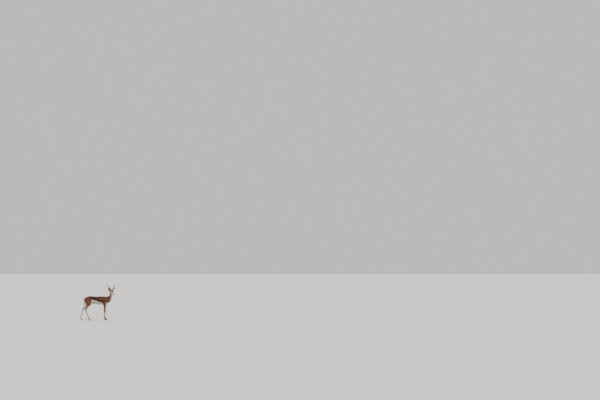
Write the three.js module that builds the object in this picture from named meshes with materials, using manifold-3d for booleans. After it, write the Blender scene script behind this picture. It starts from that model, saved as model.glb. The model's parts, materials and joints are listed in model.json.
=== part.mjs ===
// A life-size springbok ram, standing side-on with its head turned to its right.
// Millimetres. +X is forward, +Y is the animal's left, +Z is up, and the hooves stand on z = 0.
// The flesh is one smooth field of named masses, meshed node by node and parted with thin cuts.
import * as THREE from "three";
import { mergeVertices } from "three/addons/utils/BufferGeometryUtils.js";
import Module from "manifold-3d";

const wasm = await Module();
wasm.setup();

// Driving dimensions
const GAP = 0.3; // between neighbouring nodes
const WELD = 0.01;
const WITHERS_HEIGHT = 798;
const BACK_HEIGHT = 804;
const CROUP_HEIGHT = 824;
const BRISKET_HEIGHT = 522;
const RUMP_X = -407;
const BREAST_X = 480;
const HIP_X = -300;
const CHEST_HALF_WIDTH = 112;
const LEG_SPREAD = 72; // each hoof from the midline
const KNEE_HEIGHT = 288;
const FETLOCK_HEIGHT = 78;
const CORONET_HEIGHT = 36;
const TAIL_LENGTH = 245;
const HEAD_YAW = THREE.MathUtils.degToRad(58); // towards the right
const HEAD_PITCH = THREE.MathUtils.degToRad(40); // muzzle down
const HEAD_LENGTH = 255; // poll to nose
const HORN_RISE = 230; // base to tip, straight up
const HORN_SPREAD = 280; // at the widest, centre to centre
const EAR_LENGTH = 188;
const EAR_WIDTH = 62;
const EYE_RADIUS = 17.5;

const NODE_COLOURS = {
  flesh: { color: 0x9a6136, roughness: 0.85, metalness: 0 },
  horn: { color: 0x2b2320, roughness: 0.5, metalness: 0 },
  hoof: { color: 0x1f1b19, roughness: 0.45, metalness: 0 },
  eye: { color: 0x120c08, roughness: 0.08, metalness: 0 },
};

const lerp = (a, b, t) => a + (b - a) * t;
const smooth = (t) => t * t * (3 - 2 * t);
const clamp = (t, a = 0, b = 1) => Math.min(b, Math.max(a, t));

// The head's own frame: origin in the braincase, +X to the nose, +Z to the crown
const HEAD_CENTRE = new THREE.Vector3(484, -22, 966);
const headMatrix = new THREE.Matrix4()
  .makeRotationFromEuler(new THREE.Euler(0, HEAD_PITCH, -HEAD_YAW, "ZYX"))
  .setPosition(HEAD_CENTRE);
const headInverse = headMatrix.clone().invert();

// A mass is a tapered capsule from a to b, with its width squeezed by the factor wide,
// melted into the masses before it over the distance melt.
const mass = (a, b, r, wide = 1, melt = 30) => ({ a, b, r, wide, melt });

function massDistance(m, x, y, z) {
  const k = m.wide;
  const dx = m.b[0] - m.a[0];
  const dy = (m.b[1] - m.a[1]) / k;
  const dz = m.b[2] - m.a[2];
  const px = x - m.a[0];
  const py = (y - m.a[1]) / k;
  const pz = z - m.a[2];
  const long = dx * dx + dy * dy + dz * dz;
  const t = long > 0 ? clamp((px * dx + py * dy + pz * dz) / long) : 0;
  const d = Math.hypot(px - t * dx, py - t * dy, pz - t * dz);
  return (d - lerp(m.r[0], m.r[1], t)) * Math.min(1, k);
}

function melt(a, b, k) {
  const h = Math.max(k - Math.abs(a - b), 0) / k;
  return Math.min(a, b) - (h * h * k) / 4;
}

function meltAll(masses, x, y, z, start = 1e6) {
  let d = start;
  for (const m of masses) d = melt(d, massDistance(m, x, y, z), m.melt);
  return d;
}

const bothSides = (make) => [make(-1), make(1)];

// Trunk
const chestRadius = (WITHERS_HEIGHT - 12 - BRISKET_HEIGHT) / 2;
const chestZ = BRISKET_HEIGHT + chestRadius;
const chestWide = CHEST_HALF_WIDTH / chestRadius;
const trunk = [
  mass([210, 0, chestZ], [70, 0, chestZ + 6], [chestRadius, chestRadius + 2], chestWide, 1),
  mass([70, 0, chestZ + 6], [-90, 0, BACK_HEIGHT - 142], [chestRadius + 2, 128], chestWide, 30),
  mass([-60, 0, BACK_HEIGHT - 119], [-215, 0, CROUP_HEIGHT - 120], [108, 108], 0.84, 40),
  mass([-215, 0, CROUP_HEIGHT - 122], [RUMP_X + 88, 0, 684], [108, 88], 0.95, 40),
  mass([140, 0, 728], [376, 0, WITHERS_HEIGHT - 62], [60, 54], 0.6, 44),
  mass([290, 0, 652], [BREAST_X - 84, 0, 680], [106, 80], 0.78, 40),
  ...bothSides((s) => mass([215, s * 58, 728], [345, s * 76, 626], [44, 58], 0.55, 40)),
  ...bothSides((s) => mass([345, s * 74, 622], [265, s * 80, 548], [54, 46], 0.6, 30)),
  ...bothSides((s) => mass([-255, s * 62, 740], [-230, s * 80, 734], [34, 22], 0.8, 46)),
];

// Neck, nearly upright
const NECK_TOP = [474, -14, 948];
const neck = [
  mass([376, 0, 694], [458, -2, 782], [82, 54], 0.72, 40),
  mass([458, -2, 782], [470, -7, 884], [50, 46], 0.76, 30),
  mass([470, -7, 884], NECK_TOP, [46, 45], 0.8, 24),
];

// Head, in its own frame
const NOSE_X = HEAD_LENGTH - 50;
const ORBIT = [55, 28.5, 18];
const EAR_ROOT = [-42, 40, -6];
const HORN_BASE = [9, 33, 53];

// Straight up and straight back for the held head, in the head's frame
const HEAD_UP = new THREE.Vector3(-Math.sin(HEAD_PITCH), 0, Math.cos(HEAD_PITCH));
const HEAD_BACK = new THREE.Vector3(-Math.cos(HEAD_PITCH), 0, -Math.sin(HEAD_PITCH));

// A horn's middle line: lyre-shaped, leaning back and then bending upright
function hornLine(s) {
  const half = HORN_SPREAD / 2;
  const shape = [
    [HORN_BASE[1], 0, 0],
    [47, 0.15, 0.07],
    [half * 0.52, 0.33, 0.155],
    [half * 0.75, 0.5, 0.235],
    [half * 0.95, 0.66, 0.3],
    [half, 0.78, 0.335],
    [half * 0.93, 0.9, 0.34],
    [half * 0.72, 1, 0.315],
  ];
  const points = shape.map(([out, up, aft]) =>
    new THREE.Vector3(...HORN_BASE)
      .addScaledVector(HEAD_UP, up * HORN_RISE)
      .addScaledVector(HEAD_BACK, aft * HORN_RISE)
      .setY(s * out),
  );
  return new THREE.CatmullRomCurve3(points, false, "centripetal");
}

// The stump of skin that a horn stands on
function pedicle(s) {
  const along = hornLine(s).getTangentAt(0);
  const base = new THREE.Vector3(HORN_BASE[0], s * HORN_BASE[1], HORN_BASE[2]);
  const foot = base.clone().addScaledVector(along, -24);
  return mass(foot.toArray(), base.addScaledVector(along, -8).toArray(), [22, 21], 1, 12);
}

const headMasses = [
  mass([-8, 0, 6], [26, 0, 8], [43, 42], 0.94, 22),
  mass([22, 0, 0], [78, 0, -3], [44, 35], 0.92, 18),
  mass([70, 0, 1], [NOSE_X - 20, 0, -5], [33, 18], 0.84, 20),
  mass([4, 0, -28], [60, 0, -24], [28, 25], 1, 18),
  mass([50, 0, -28], [NOSE_X - 30, 0, -22], [23, 10.5], 0.9, 9),
  mass([24, 0, 36], [60, 0, 27], [21, 17], 1.3, 14),
  mass([NOSE_X - 17, 0, 0], [NOSE_X - 12, 0, -2], [15.5, 14.5], 1.08, 9),
  ...bothSides((s) => mass([20, s * 25, 6], [66, s * 27, -2], [20, 15], 0.9, 14)),
  ...bothSides((s) => mass([38, s * 28, 33], [66, s * 28, 33], [12, 9.5], 1, 10)),
  ...bothSides((s) => mass([8, s * 24, -28], [50, s * 23, -19], [21, 14], 0.7, 14)),
  ...bothSides((s) => mass([-30, s * 26, 0], [EAR_ROOT[0], s * EAR_ROOT[1], EAR_ROOT[2]], [16, 13], 1, 18)),
  pedicle(-1),
  pedicle(1),
];

// Legs: joints from shoulder or hip to the toe, as [x, out from the midline, z]
const fetlockAt = (x) => [x, LEG_SPREAD, FETLOCK_HEIGHT];
const FORE = {
  right: { elbow: [262, 80, 545], knee: [260, 73, KNEE_HEIGHT], fetlock: fetlockAt(266), lean: 0.5 },
  left: { elbow: [280, 80, 545], knee: [302, 73, KNEE_HEIGHT], fetlock: fetlockAt(303), lean: 0.5 },
};
const HIND = {
  right: { stifle: [-222, 84, 560], hock: [-357, 76, 356], fetlock: fetlockAt(-256), lean: 0.95 },
  left: { stifle: [-258, 84, 548], hock: [-438, 76, 368], fetlock: fetlockAt(-507), lean: 0.5 },
};
const SIDE = { right: -1, left: 1 };
const at = (side, [x, out, z], dx = 0, dz = 0) => [x + dx, SIDE[side] * out, z + dz];

// The pastern slopes forward from the fetlock to the top of the hoof
const coronetOf = (leg) => [
  leg.fetlock[0] + leg.lean * (FETLOCK_HEIGHT - CORONET_HEIGHT) + 4,
  leg.fetlock[1],
  CORONET_HEIGHT,
];

function footMasses(side, leg) {
  const coronet = coronetOf(leg);
  const below = [coronet[0] + 16 * leg.lean, coronet[1], CORONET_HEIGHT - 22];
  return [
    mass(at(side, leg.fetlock, -2, 4), at(side, leg.fetlock, 1, -4), [16.5, 16], 0.9, 14),
    mass(at(side, leg.fetlock, 2, -6), at(side, coronet), [13.5, 15], 1.05, 12),
    mass(at(side, coronet), at(side, below), [15, 16], 1.12, 8),
    ...[-8, 8].map((across) => {
      const claw = [leg.fetlock[0] - 15, leg.fetlock[1] + across, leg.fetlock[2] - 11];
      return mass(at(side, claw), at(side, claw, -3, -5), [6, 5], 1, 7);
    }),
  ];
}

function forelegMasses(side) {
  const leg = FORE[side];
  return [
    mass(at(side, leg.elbow, 4, 0), at(side, leg.knee, 1, 60), [42, 22], 0.78, 26),
    mass(at(side, leg.elbow, -30, -2), at(side, leg.elbow, -18, -24), [15, 12], 0.7, 24),
    mass(at(side, leg.knee, 1, 60), at(side, leg.knee, 2, 12), [22, 20.5], 0.82, 20),
    mass(at(side, leg.knee, 2, 12), at(side, leg.knee, 1, -14), [20.5, 18.5], 0.86, 16),
    mass(at(side, leg.knee, 0, -14), at(side, leg.fetlock, 0, 30), [16.5, 14], 0.86, 22),
    mass(at(side, leg.fetlock, 0, 30), at(side, leg.fetlock), [14, 15.5], 0.88, 12),
    ...footMasses(side, leg),
  ];
}

function hindlegMasses(side) {
  const leg = HIND[side];
  const hip = [HIP_X + 6, 56, 696];
  const back = 0.5 * (leg.hock[0] - leg.stifle[0]);
  return [
    mass(at(side, hip), at(side, leg.stifle, -22, 18), [92, 56], 0.56, 40),
    mass(at(side, hip, -44, -26), at(side, leg.stifle, back * 0.6 - 8, -4), [62, 44], 0.55, 34),
    mass(at(side, leg.stifle, 4, 20), at(side, leg.stifle, -6, -22), [34, 34], 0.8, 26),
    mass(at(side, leg.stifle, -18, -10), at(side, leg.hock, 26, 50), [48, 23], 0.62, 26),
    mass(at(side, leg.hock, 26, 50), at(side, leg.hock, 6, 8), [22, 21], 0.7, 20),
    mass(at(side, leg.hock, -15, 24), at(side, leg.hock, -5, -16), [13.5, 15], 0.76, 16),
    mass(at(side, leg.hock, 4, 62), at(side, leg.hock, -14, 26), [8, 9.5], 0.8, 16),
    mass(at(side, leg.hock, 3, 2), at(side, leg.fetlock, 0, 30), [19, 14.6], 0.82, 18),
    mass(at(side, leg.fetlock, 0, 30), at(side, leg.fetlock), [14.6, 16], 0.88, 12),
    ...footMasses(side, leg),
  ];
}

const legMasses = {
  foreleg_right: forelegMasses("right"),
  foreleg_left: forelegMasses("left"),
  hindleg_right: hindlegMasses("right"),
  hindleg_left: hindlegMasses("left"),
};

// Hollows, melted out of the body: in front of the thigh, and between neck and shoulder
const hollows = [
  ...bothSides((s) => mass([-150, s * 128, 668], [-120, s * 132, 640], [34, 30], 0.6, 60)),
  ...bothSides((s) => mass([402, s * 104, 735], [388, s * 104, 690], [22, 22], 0.9, 60)),
];

const headPoint = new THREE.Vector3();
function bodyField(x, y, z) {
  let d = meltAll(trunk, x, y, z);
  for (const h of hollows) d = -melt(-d, massDistance(h, x, y, z), h.melt);
  for (const masses of Object.values(legMasses)) d = melt(d, meltAll(masses, x, y, z), 30);
  d = melt(d, meltAll(neck, x, y, z), 44);
  headPoint.set(x, y, z).applyMatrix4(headInverse);
  return melt(d, headField(headPoint.x, headPoint.y, headPoint.z), 24);
}

function headField(x, y, z) {
  return meltAll(headMasses, x, y, z);
}

// Meshes the zero surface of field inside a box of cells. warp carries a grid point to the place
// where the field is read, so that long cells can follow a leaning leg.
function surfaceOf(field, low, high, cell, warp = (p) => p, reach = Math.min(...cell) / 3) {
  const count = low.map((l, i) => Math.ceil((high[i] - l) / cell[i]) + 1);
  const [nx, ny, nz] = count;
  const spot = (i, j, k) => warp([low[0] + i * cell[0], low[1] + j * cell[1], low[2] + k * cell[2]]);
  const index = (i, j, k) => (k * ny + j) * nx + i;
  const values = new Float64Array(nx * ny * nz);
  for (let k = 0; k < nz; k++)
    for (let j = 0; j < ny; j++)
      for (let i = 0; i < nx; i++) {
        const rim = i === 0 || j === 0 || k === 0 || i === nx - 1 || j === ny - 1 || k === nz - 1;
        values[index(i, j, k)] = rim ? 1 : field(...spot(i, j, k));
      }
  const points = [];
  const faces = [];
  const vertexOf = new Map();
  const corners = [0, 1, 2, 3, 4, 5, 6, 7].map((c) => [c & 1, (c >> 1) & 1, (c >> 2) & 1]);
  const edges = [];
  for (let a = 0; a < 8; a++)
    for (let axis = 0; axis < 3; axis++) if (!(a & (1 << axis))) edges.push([a, a | (1 << axis)]);
  for (let k = 0; k < nz - 1; k++)
    for (let j = 0; j < ny - 1; j++)
      for (let i = 0; i < nx - 1; i++) {
        const v = corners.map(([a, b, c]) => values[index(i + a, j + b, k + c)]);
        const inside = v.filter((d) => d < 0).length;
        if (inside === 0 || inside === 8) continue;
        // corners inside the body that touch along the cell's edges share one vertex
        const part = corners.map((_, c) => c);
        for (let turn = 0; turn < 3; turn++)
          for (const [a, b] of edges)
            if (v[a] < 0 && v[b] < 0) part[a] = part[b] = Math.min(part[a], part[b]);
        const made = new Map();
        for (const [a, b] of edges) {
          if (v[a] < 0 === v[b] < 0) continue;
          const key = part[v[a] < 0 ? a : b];
          if (!made.has(key)) made.set(key, [0, 0, 0, 0]);
          const sum = made.get(key);
          const t = v[a] / (v[a] - v[b]);
          for (let n = 0; n < 3; n++) sum[n] += lerp(corners[a][n], corners[b][n], t);
          sum[3]++;
        }
        const ids = new Map();
        for (const [key, [x, y, z, hits]] of made) {
          ids.set(key, points.length);
          points.push(settle(field, spot(i + x / hits, j + y / hits, k + z / hits), reach));
        }
        vertexOf.set(index(i, j, k), part.map((key) => ids.get(key)));
      }
  // four cells round a grid edge give one quad
  const quad = (cells, [x, y, z], flip) => {
    const cornerIn = ([a, b, c]) => vertexOf.get(index(a, b, c))[x - a + 2 * (y - b) + 4 * (z - c)];
    const [p, q, r, s] = cells.map(cornerIn);
    if (flip) faces.push(p, r, q, p, s, r);
    else faces.push(p, q, r, p, r, s);
  };
  for (let k = 0; k < nz - 1; k++)
    for (let j = 0; j < ny - 1; j++)
      for (let i = 0; i < nx - 1; i++) {
        const here = values[index(i, j, k)] < 0;
        const from = [i, j, k];
        if (here !== values[index(i + 1, j, k)] < 0)
          quad([[i, j - 1, k - 1], [i, j, k - 1], from, [i, j - 1, k]], here ? from : [i + 1, j, k], !here);
        if (here !== values[index(i, j + 1, k)] < 0)
          quad([[i - 1, j, k - 1], [i - 1, j, k], from, [i, j, k - 1]], here ? from : [i, j + 1, k], !here);
        if (here !== values[index(i, j, k + 1)] < 0)
          quad([[i - 1, j - 1, k], [i, j - 1, k], from, [i - 1, j, k]], here ? from : [i, j, k + 1], !here);
      }
  return closed(solidFrom(points.flat(), faces));
}

// Moves a vertex on to the zero surface along the field's slope, by at most reach
function settle(field, point, reach) {
  const p = [...point];
  for (let turn = 0; turn < 3; turn++) {
    const d = field(...p);
    const slope = [0, 1, 2].map((n) => {
      const q = [...p];
      q[n] += 0.5;
      return (field(...q) - d) * 2;
    });
    const steep = Math.max(slope[0] ** 2 + slope[1] ** 2 + slope[2] ** 2, 0.05);
    for (let n = 0; n < 3; n++) p[n] -= (d * slope[n]) / steep;
  }
  return p.map((value, n) => clamp(value, point[n] - reach, point[n] + reach));
}

function solidFrom(positions, indices) {
  return new wasm.Manifold(
    new wasm.Mesh({
      numProp: 3,
      vertProperties: new Float32Array(positions),
      triVerts: new Uint32Array(indices),
    }),
  );
}

// Keeps the largest closed surface of a solid
function closed(solid) {
  const parts = solid.decompose();
  return parts.reduce((a, b) => (b.volume() > a.volume() ? b : a));
}

function solidOf(geometry, weld = 1e-4) {
  const bare = geometry.clone();
  for (const name of Object.keys(bare.attributes)) if (name !== "position") bare.deleteAttribute(name);
  const merged = mergeVertices(bare, weld);
  return solidFrom(merged.attributes.position.array, merged.index.array);
}

function geometryOf(solid) {
  const m = solid.getMesh();
  const flat = new Float32Array(m.numVert * 3);
  for (let i = 0; i < m.numVert; i++)
    flat.set(m.vertProperties.subarray(i * m.numProp, i * m.numProp + 3), i * 3);
  const geometry = new THREE.BufferGeometry()
    .setAttribute("position", new THREE.BufferAttribute(flat, 3))
    .setIndex(new THREE.BufferAttribute(new Uint32Array(m.triVerts), 1));
  geometry.computeVertexNormals();
  return geometry;
}

// The same solid with its skin pushed out a little, for parting a neighbour from it
function grown(solid, by = 1.6 * GAP) {
  const geometry = geometryOf(solid);
  const { position, normal } = geometry.attributes;
  for (let i = 0; i < position.array.length; i++) position.array[i] += by * normal.array[i];
  return solidFrom(position.array, geometry.index.array);
}

// A closed skin over rings of equal length. Each end is a "fan" round its middle, or a "strip"
// across where the ring is the outline of a curved sheet. A "loop" of rings has no ends.
function loft(rings, ends = "fan") {
  const sides = rings[0].length;
  const positions = rings.flat().flatMap((p) => p.toArray());
  const indices = [];
  const rows = ends === "loop" ? rings.length : rings.length - 1;
  for (let i = 0; i < rows; i++)
    for (let j = 0; j < sides; j++) {
      const a = i * sides + j;
      const b = i * sides + ((j + 1) % sides);
      const c = ((i + 1) % rings.length) * sides + j;
      const d = ((i + 1) % rings.length) * sides + ((j + 1) % sides);
      indices.push(a, b, d, a, d, c);
    }
  const cap = (first, a, b, c) => {
    if (first) indices.push(a, b, c);
    else indices.push(a, c, b);
  };
  if (ends === "fan")
    for (const first of [true, false]) {
      const start = first ? 0 : (rings.length - 1) * sides;
      const middle = new THREE.Vector3();
      rings.at(first ? 0 : -1).forEach((p) => middle.addScaledVector(p, 1 / sides));
      const tip = positions.length / 3;
      positions.push(...middle.toArray());
      for (let j = 0; j < sides; j++) cap(first, tip, start + ((j + 1) % sides), start + j);
    }
  if (ends === "strip")
    for (const first of [true, false]) {
      const start = first ? 0 : (rings.length - 1) * sides;
      for (let j = 0; j < sides / 2 - 1; j++) {
        const far = start + sides - 1 - j;
        cap(first, start + j + 1, start + j, far);
        cap(first, start + j + 1, far, far - 1);
      }
    }
  const solid = solidFrom(positions, indices);
  if (solid.volume() > 0) return solid;
  const turned = [];
  for (let i = 0; i < indices.length; i += 3) turned.push(indices[i], indices[i + 2], indices[i + 1]);
  return solidFrom(positions, turned);
}

// Rings along a curve. radius(t) gives [across, deep]; up sets which way deep points.
function sweep(curve, steps, sides, radius, up) {
  const rings = [];
  for (let i = 0; i <= steps; i++) {
    const t = i / steps;
    const middle = curve.getPointAt(t);
    const along = curve.getTangentAt(t);
    const across = new THREE.Vector3().crossVectors(up, along).normalize();
    const deep = new THREE.Vector3().crossVectors(along, across);
    const [ra, rd] = radius(t);
    rings.push(
      Array.from({ length: sides }, (_, j) => {
        const a = (2 * Math.PI * j) / sides;
        return middle
          .clone()
          .addScaledVector(across, ra * Math.cos(a))
          .addScaledVector(deep, rd * Math.sin(a));
      }),
    );
  }
  return loft(rings);
}

const curveThrough = (points) =>
  new THREE.CatmullRomCurve3(points.map((p) => new THREE.Vector3(...p)), false, "centripetal");

const room = (centre, size) => solidOf(new THREE.BoxGeometry(...size).translate(...centre));

// The face between leg and hoof slopes up to the front
const HOOF_TOP = [-0.34, 0, 1];

// The half space above a point, on the side that normal points to, as a wide box
function halfSpace(point, normal, shift = 0, wide = 1500) {
  const n = new THREE.Vector3(...normal).normalize();
  const turn = new THREE.Quaternion().setFromUnitVectors(new THREE.Vector3(0, 0, 1), n);
  const centre = new THREE.Vector3(...point).addScaledVector(n, wide / 2 + shift);
  const matrix = new THREE.Matrix4().compose(centre, turn, new THREE.Vector3(1, 1, 1));
  return solidOf(new THREE.BoxGeometry(wide, wide, wide).applyMatrix4(matrix));
}

const springbok = new THREE.Group();
const headGroup = new THREE.Group();
headGroup.applyMatrix4(headMatrix);
springbok.add(headGroup);

// Welds what the cuts left closer together than WELD, and keeps the largest body
function addNode(name, solid, kind, group = springbok) {
  const whole = closed(solidOf(geometryOf(closed(solid)), WELD));
  const box = whole.boundingBox();
  const anchor = new THREE.Vector3().fromArray(box.min).add(new THREE.Vector3().fromArray(box.max));
  anchor.divideScalar(2);
  const geometry = geometryOf(whole).translate(-anchor.x, -anchor.y, -anchor.z);
  const mesh = new THREE.Mesh(geometry, new THREE.MeshStandardMaterial(NODE_COLOURS[kind]));
  mesh.name = name;
  mesh.position.copy(anchor);
  group.add(mesh);
  return whole;
}

// Where the nodes part
const NECK_CUT = { point: [440, 0, 752], normal: [0.6, 0, 0.8] };
const HEAD_CUT = { point: [446, -1, 905], normal: [0.35, -0.5, 0.79] };
const LEG_CUT = {
  fore: { out: 76, z: 561, tilt: 0.85, behind: 78, ahead: 106 },
  hind: { out: 81, z: 588, tilt: 0.64, behind: 420, ahead: 72 },
};
const legOf = (side, kind) => (kind === "fore" ? FORE[side] : HIND[side]);

// The room a leg takes: below a plane that falls towards the midline
function legRoom(side, kind, grow) {
  const s = SIDE[side];
  const { out, z, tilt, behind, ahead } = LEG_CUT[kind];
  const joint = kind === "fore" ? legOf(side, kind).elbow : legOf(side, kind).stifle;
  const box = room(
    [joint[0] + (ahead - behind) / 2, s * 114, 350],
    [ahead + behind + 2 * grow, 200 + 2 * grow, 800],
  );
  return box.intersect(halfSpace([0, s * out, z], [0, s * Math.sin(tilt), -Math.cos(tilt)], -grow));
}

// Trunk and neck
const TRUNK_CELL = [36, 25, 24];
const NECK_CELL = [15, 13, 17];
const bodyMesh = surfaceOf(bodyField, [-450, -162, 440], [540, 162, 880], TRUNK_CELL);
const neckMesh = surfaceOf(bodyField, [280, -190, 640], [600, 110, 1030], NECK_CELL);

const aboveNeckCut = halfSpace(NECK_CUT.point, NECK_CUT.normal, GAP / 2);
const belowNeckCut = halfSpace(NECK_CUT.point, NECK_CUT.normal.map((v) => -v), GAP / 2);
const aboveHeadCut = halfSpace(HEAD_CUT.point, HEAD_CUT.normal, GAP / 2);
const belowHeadCut = halfSpace(HEAD_CUT.point, HEAD_CUT.normal.map((v) => -v), GAP / 2);

let torso = bodyMesh.intersect(belowNeckCut);
for (const side of ["right", "left"])
  for (const kind of ["fore", "hind"]) torso = torso.subtract(legRoom(side, kind, GAP));
torso = addNode("torso", torso, "flesh");
addNode("neck", neckMesh.intersect(aboveNeckCut).intersect(belowHeadCut), "flesh");

// Legs, each meshed in a grid that leans with the leg
function axisOf(side, joints) {
  const line = joints.map((j) => at(side, j)).sort((a, b) => a[2] - b[2]);
  return (z) => {
    let i = 0;
    while (i < line.length - 2 && z > line[i + 1][2]) i++;
    const t = clamp((z - line[i][2]) / (line[i + 1][2] - line[i][2]));
    return [lerp(line[i][0], line[i + 1][0], t), lerp(line[i][1], line[i + 1][1], t)];
  };
}

// Grid levels up a leg: close together at the joints, far apart along the shafts
function levelsOf(joints, low, high) {
  const levels = [low];
  while (levels.at(-1) < high) {
    const z = levels.at(-1);
    const near = Math.min(...joints.map((j) => Math.abs(j - z)));
    levels.push(z + lerp(11, 26, smooth(clamp(near / 70))));
  }
  return levels;
}

function buildLeg(side, kind) {
  const leg = legOf(side, kind);
  const { behind, ahead } = LEG_CUT[kind];
  const hip = [leg.elbow ? leg.elbow[0] : leg.stifle[0] - 34, 80, 650];
  const middle = leg.knee ?? leg.hock;
  const axis = axisOf(side, [hip, leg.elbow ?? leg.stifle, middle, leg.fetlock, coronetOf(leg)]);
  const levels = levelsOf([FETLOCK_HEIGHT - 10, middle[2]], CORONET_HEIGHT - 24, 650);
  const warp = ([u, v, w]) => {
    const n = clamp(Math.floor(w), 0, levels.length - 2);
    const z = lerp(levels[n], levels[n + 1], w - n);
    return [u + axis(z)[0], v + axis(z)[1], z];
  };
  const low = [-(kind === "fore" ? behind + 14 : 190), -78, 0];
  const high = [kind === "fore" ? ahead + 14 : ahead + 50, 78, levels.length - 1];
  const mesh = surfaceOf(bodyField, low, high, [13.6, 11.4, 1], warp, 3.8);
  const onTop = halfSpace(at(side, coronetOf(leg)), HOOF_TOP, GAP / 2);
  return addNode(`${kind}leg_${side}`, mesh.intersect(legRoom(side, kind, 0)).intersect(onTop), "flesh");
}

// Hooves: two claws with a cleft between them, joined at the heel
const CLAW = { long: 54, wide: 17.6, tall: 46, cleft: 2 };

function claw(x0, y0, inner) {
  const levels = [0, 0.1, 0.4, 0.7, 1];
  const sides = 10;
  const rings = levels.map((t) => {
    // each level is an egg outline, long at the sole and short at the top
    const long = lerp(CLAW.long, 28, t);
    const front = lerp(35, 11, t);
    const half = (CLAW.wide / 2) * (t === 0 ? 0.92 : 1);
    return Array.from({ length: sides }, (_, j) => {
      const a = (2 * Math.PI * (j + 0.5)) / sides;
      const x = front - long / 2 + (long / 2) * Math.sign(Math.cos(a)) * Math.abs(Math.cos(a)) ** 0.8;
      const ahead = clamp(Math.cos(a));
      const pinch = 1 - 0.45 * ahead * (1 - t * 0.7);
      const y = half * Math.sign(Math.sin(a)) * Math.abs(Math.sin(a)) ** 0.8 * pinch;
      return new THREE.Vector3(x0 + x, y0 + y - inner * 2.4 * clamp((x - 6) / 28) ** 2, CLAW.tall * t);
    });
  });
  return loft(rings);
}

function buildHoof(side, kind) {
  const leg = legOf(side, kind);
  const coronet = at(side, coronetOf(leg));
  const x0 = coronet[0] + 2;
  const apart = (CLAW.wide + CLAW.cleft) / 2;
  const pair = claw(x0, coronet[1] + apart, -1).add(claw(x0, coronet[1] - apart, 1));
  const heel = new THREE.SphereGeometry(1, 8, 6).scale(12, 10, 14).translate(x0 - 5, coronet[1], 18);
  const below = halfSpace(coronet, HOOF_TOP.map((v) => -v), GAP / 2);
  return addNode(`hoof_${kind}_${side}`, pair.add(solidOf(heel)).intersect(below), "hoof");
}

for (const side of ["right", "left"])
  for (const kind of ["fore", "hind"]) {
    buildLeg(side, kind);
    buildHoof(side, kind);
  }

// Tail: a slender dock that hangs behind the rump, ending in a tuft of flat locks
function buildTail() {
  const root = [RUMP_X + 34, 0, 748];
  const spine = curveThrough([
    root,
    [RUMP_X - 4, 0, 742],
    [RUMP_X - 14, 0, 700],
    [RUMP_X - 6, 0, 640],
    [RUMP_X + 2, 0, root[2] - TAIL_LENGTH + 62],
  ]);
  const side = new THREE.Vector3(0, 1, 0);
  const core = sweep(spine, 8, 7, (t) => [lerp(17, 8, t), lerp(13, 8, t)], side);
  let tail = core;
  const end = spine.getPointAt(0.86);
  const LOCKS = 8;
  for (let i = 0; i < LOCKS; i++) {
    const a = (2 * Math.PI * i) / LOCKS;
    const drop = TAIL_LENGTH * (0.3 + 0.05 * Math.cos(3 * a + 1));
    const start = end.clone().add(new THREE.Vector3(4 * Math.cos(a), 4 * Math.sin(a), 6 * Math.cos(2 * a)));
    const out = new THREE.Vector3(13 * Math.cos(a), 10 * Math.sin(a), 0);
    const line = new THREE.CatmullRomCurve3([
      start,
      start.clone().add(out.clone().multiplyScalar(0.8)).setZ(start.z - drop * 0.4),
      start.clone().add(out.clone().multiplyScalar(0.35)).setZ(start.z - drop),
    ]);
    const facing = out.clone().normalize();
    const lock = sweep(line, 4, 4, (t) => [7.5 * (1 - t ** 1.6) + 0.8, 3 * (1 - t) + 0.5], facing);
    tail = tail.add(lock);
  }
  const inTorso = halfSpace([RUMP_X + 20, 0, 700], [1, 0, 0]);
  return addNode("tail", tail.subtract(grown(torso)).subtract(inTorso), "flesh");
}
buildTail();

// Head in its own frame
const toHead = (solid) => solid.transform(headInverse.elements);
const headFieldHere = (x, y, z) => {
  const p = new THREE.Vector3(x, y, z).applyMatrix4(headMatrix);
  return bodyField(p.x, p.y, p.z);
};
const HEAD_CELL = [10.4, 8.6, 9.4];
let head = surfaceOf(headFieldHere, [-100, -66, -100], [NOSE_X + 16, 66, 90], HEAD_CELL);
head = head.intersect(toHead(aboveHeadCut));

const sideOf = (s, [x, y, z]) => new THREE.Vector3(x, s * y, z);

// Lids: an almond ring that lies on the eyeball and is fused into the head
function eyeAxis(s) {
  return new THREE.Vector3(0.34, s * 0.92, 0.14).normalize();
}
function lids(s) {
  const centre = sideOf(s, ORBIT);
  const out = eyeAxis(s);
  const along = new THREE.Vector3(0.94, -s * 0.32, -0.2).projectOnPlane(out).normalize();
  const over = new THREE.Vector3().crossVectors(out, along).multiplyScalar(s);
  const rings = [];
  const steps = 14;
  for (let i = 0; i < steps; i++) {
    const a = (2 * Math.PI * i) / steps;
    const ca = Math.cos(a);
    const sa = Math.sin(a);
    const corner = Math.abs(ca) ** 5;
    const reach = along.clone().multiplyScalar(ca * (0.86 + 0.14 * corner));
    reach.addScaledVector(over, sa * (sa > 0 ? 0.66 : 0.58) * (1 - 0.25 * corner));
    const spot = out.clone().multiplyScalar(0.72).add(reach.multiplyScalar(1.1)).normalize();
    const middle = centre.clone().addScaledVector(spot, EYE_RADIUS + 0.6);
    const tangent = out.clone().multiplyScalar(-1).cross(spot).normalize();
    const inward = new THREE.Vector3().crossVectors(tangent, spot);
    rings.push(
      [0, 1, 2, 3, 4].map((j) => {
        const b = (2 * Math.PI * j) / 5;
        return middle
          .clone()
          .addScaledVector(spot, 2.6 * Math.cos(b))
          .addScaledVector(inward, 3.2 * Math.sin(b));
      }),
    );
  }
  return loft(rings, "loop");
}

const ball = (centre, radius, wide, high) =>
  solidOf(new THREE.SphereGeometry(radius, wide, high).translate(centre.x, centre.y, centre.z));

for (const s of [-1, 1]) {
  head = head.add(lids(s));
  head = head.subtract(ball(sideOf(s, ORBIT), EYE_RADIUS + GAP, 12, 9));
}

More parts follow.
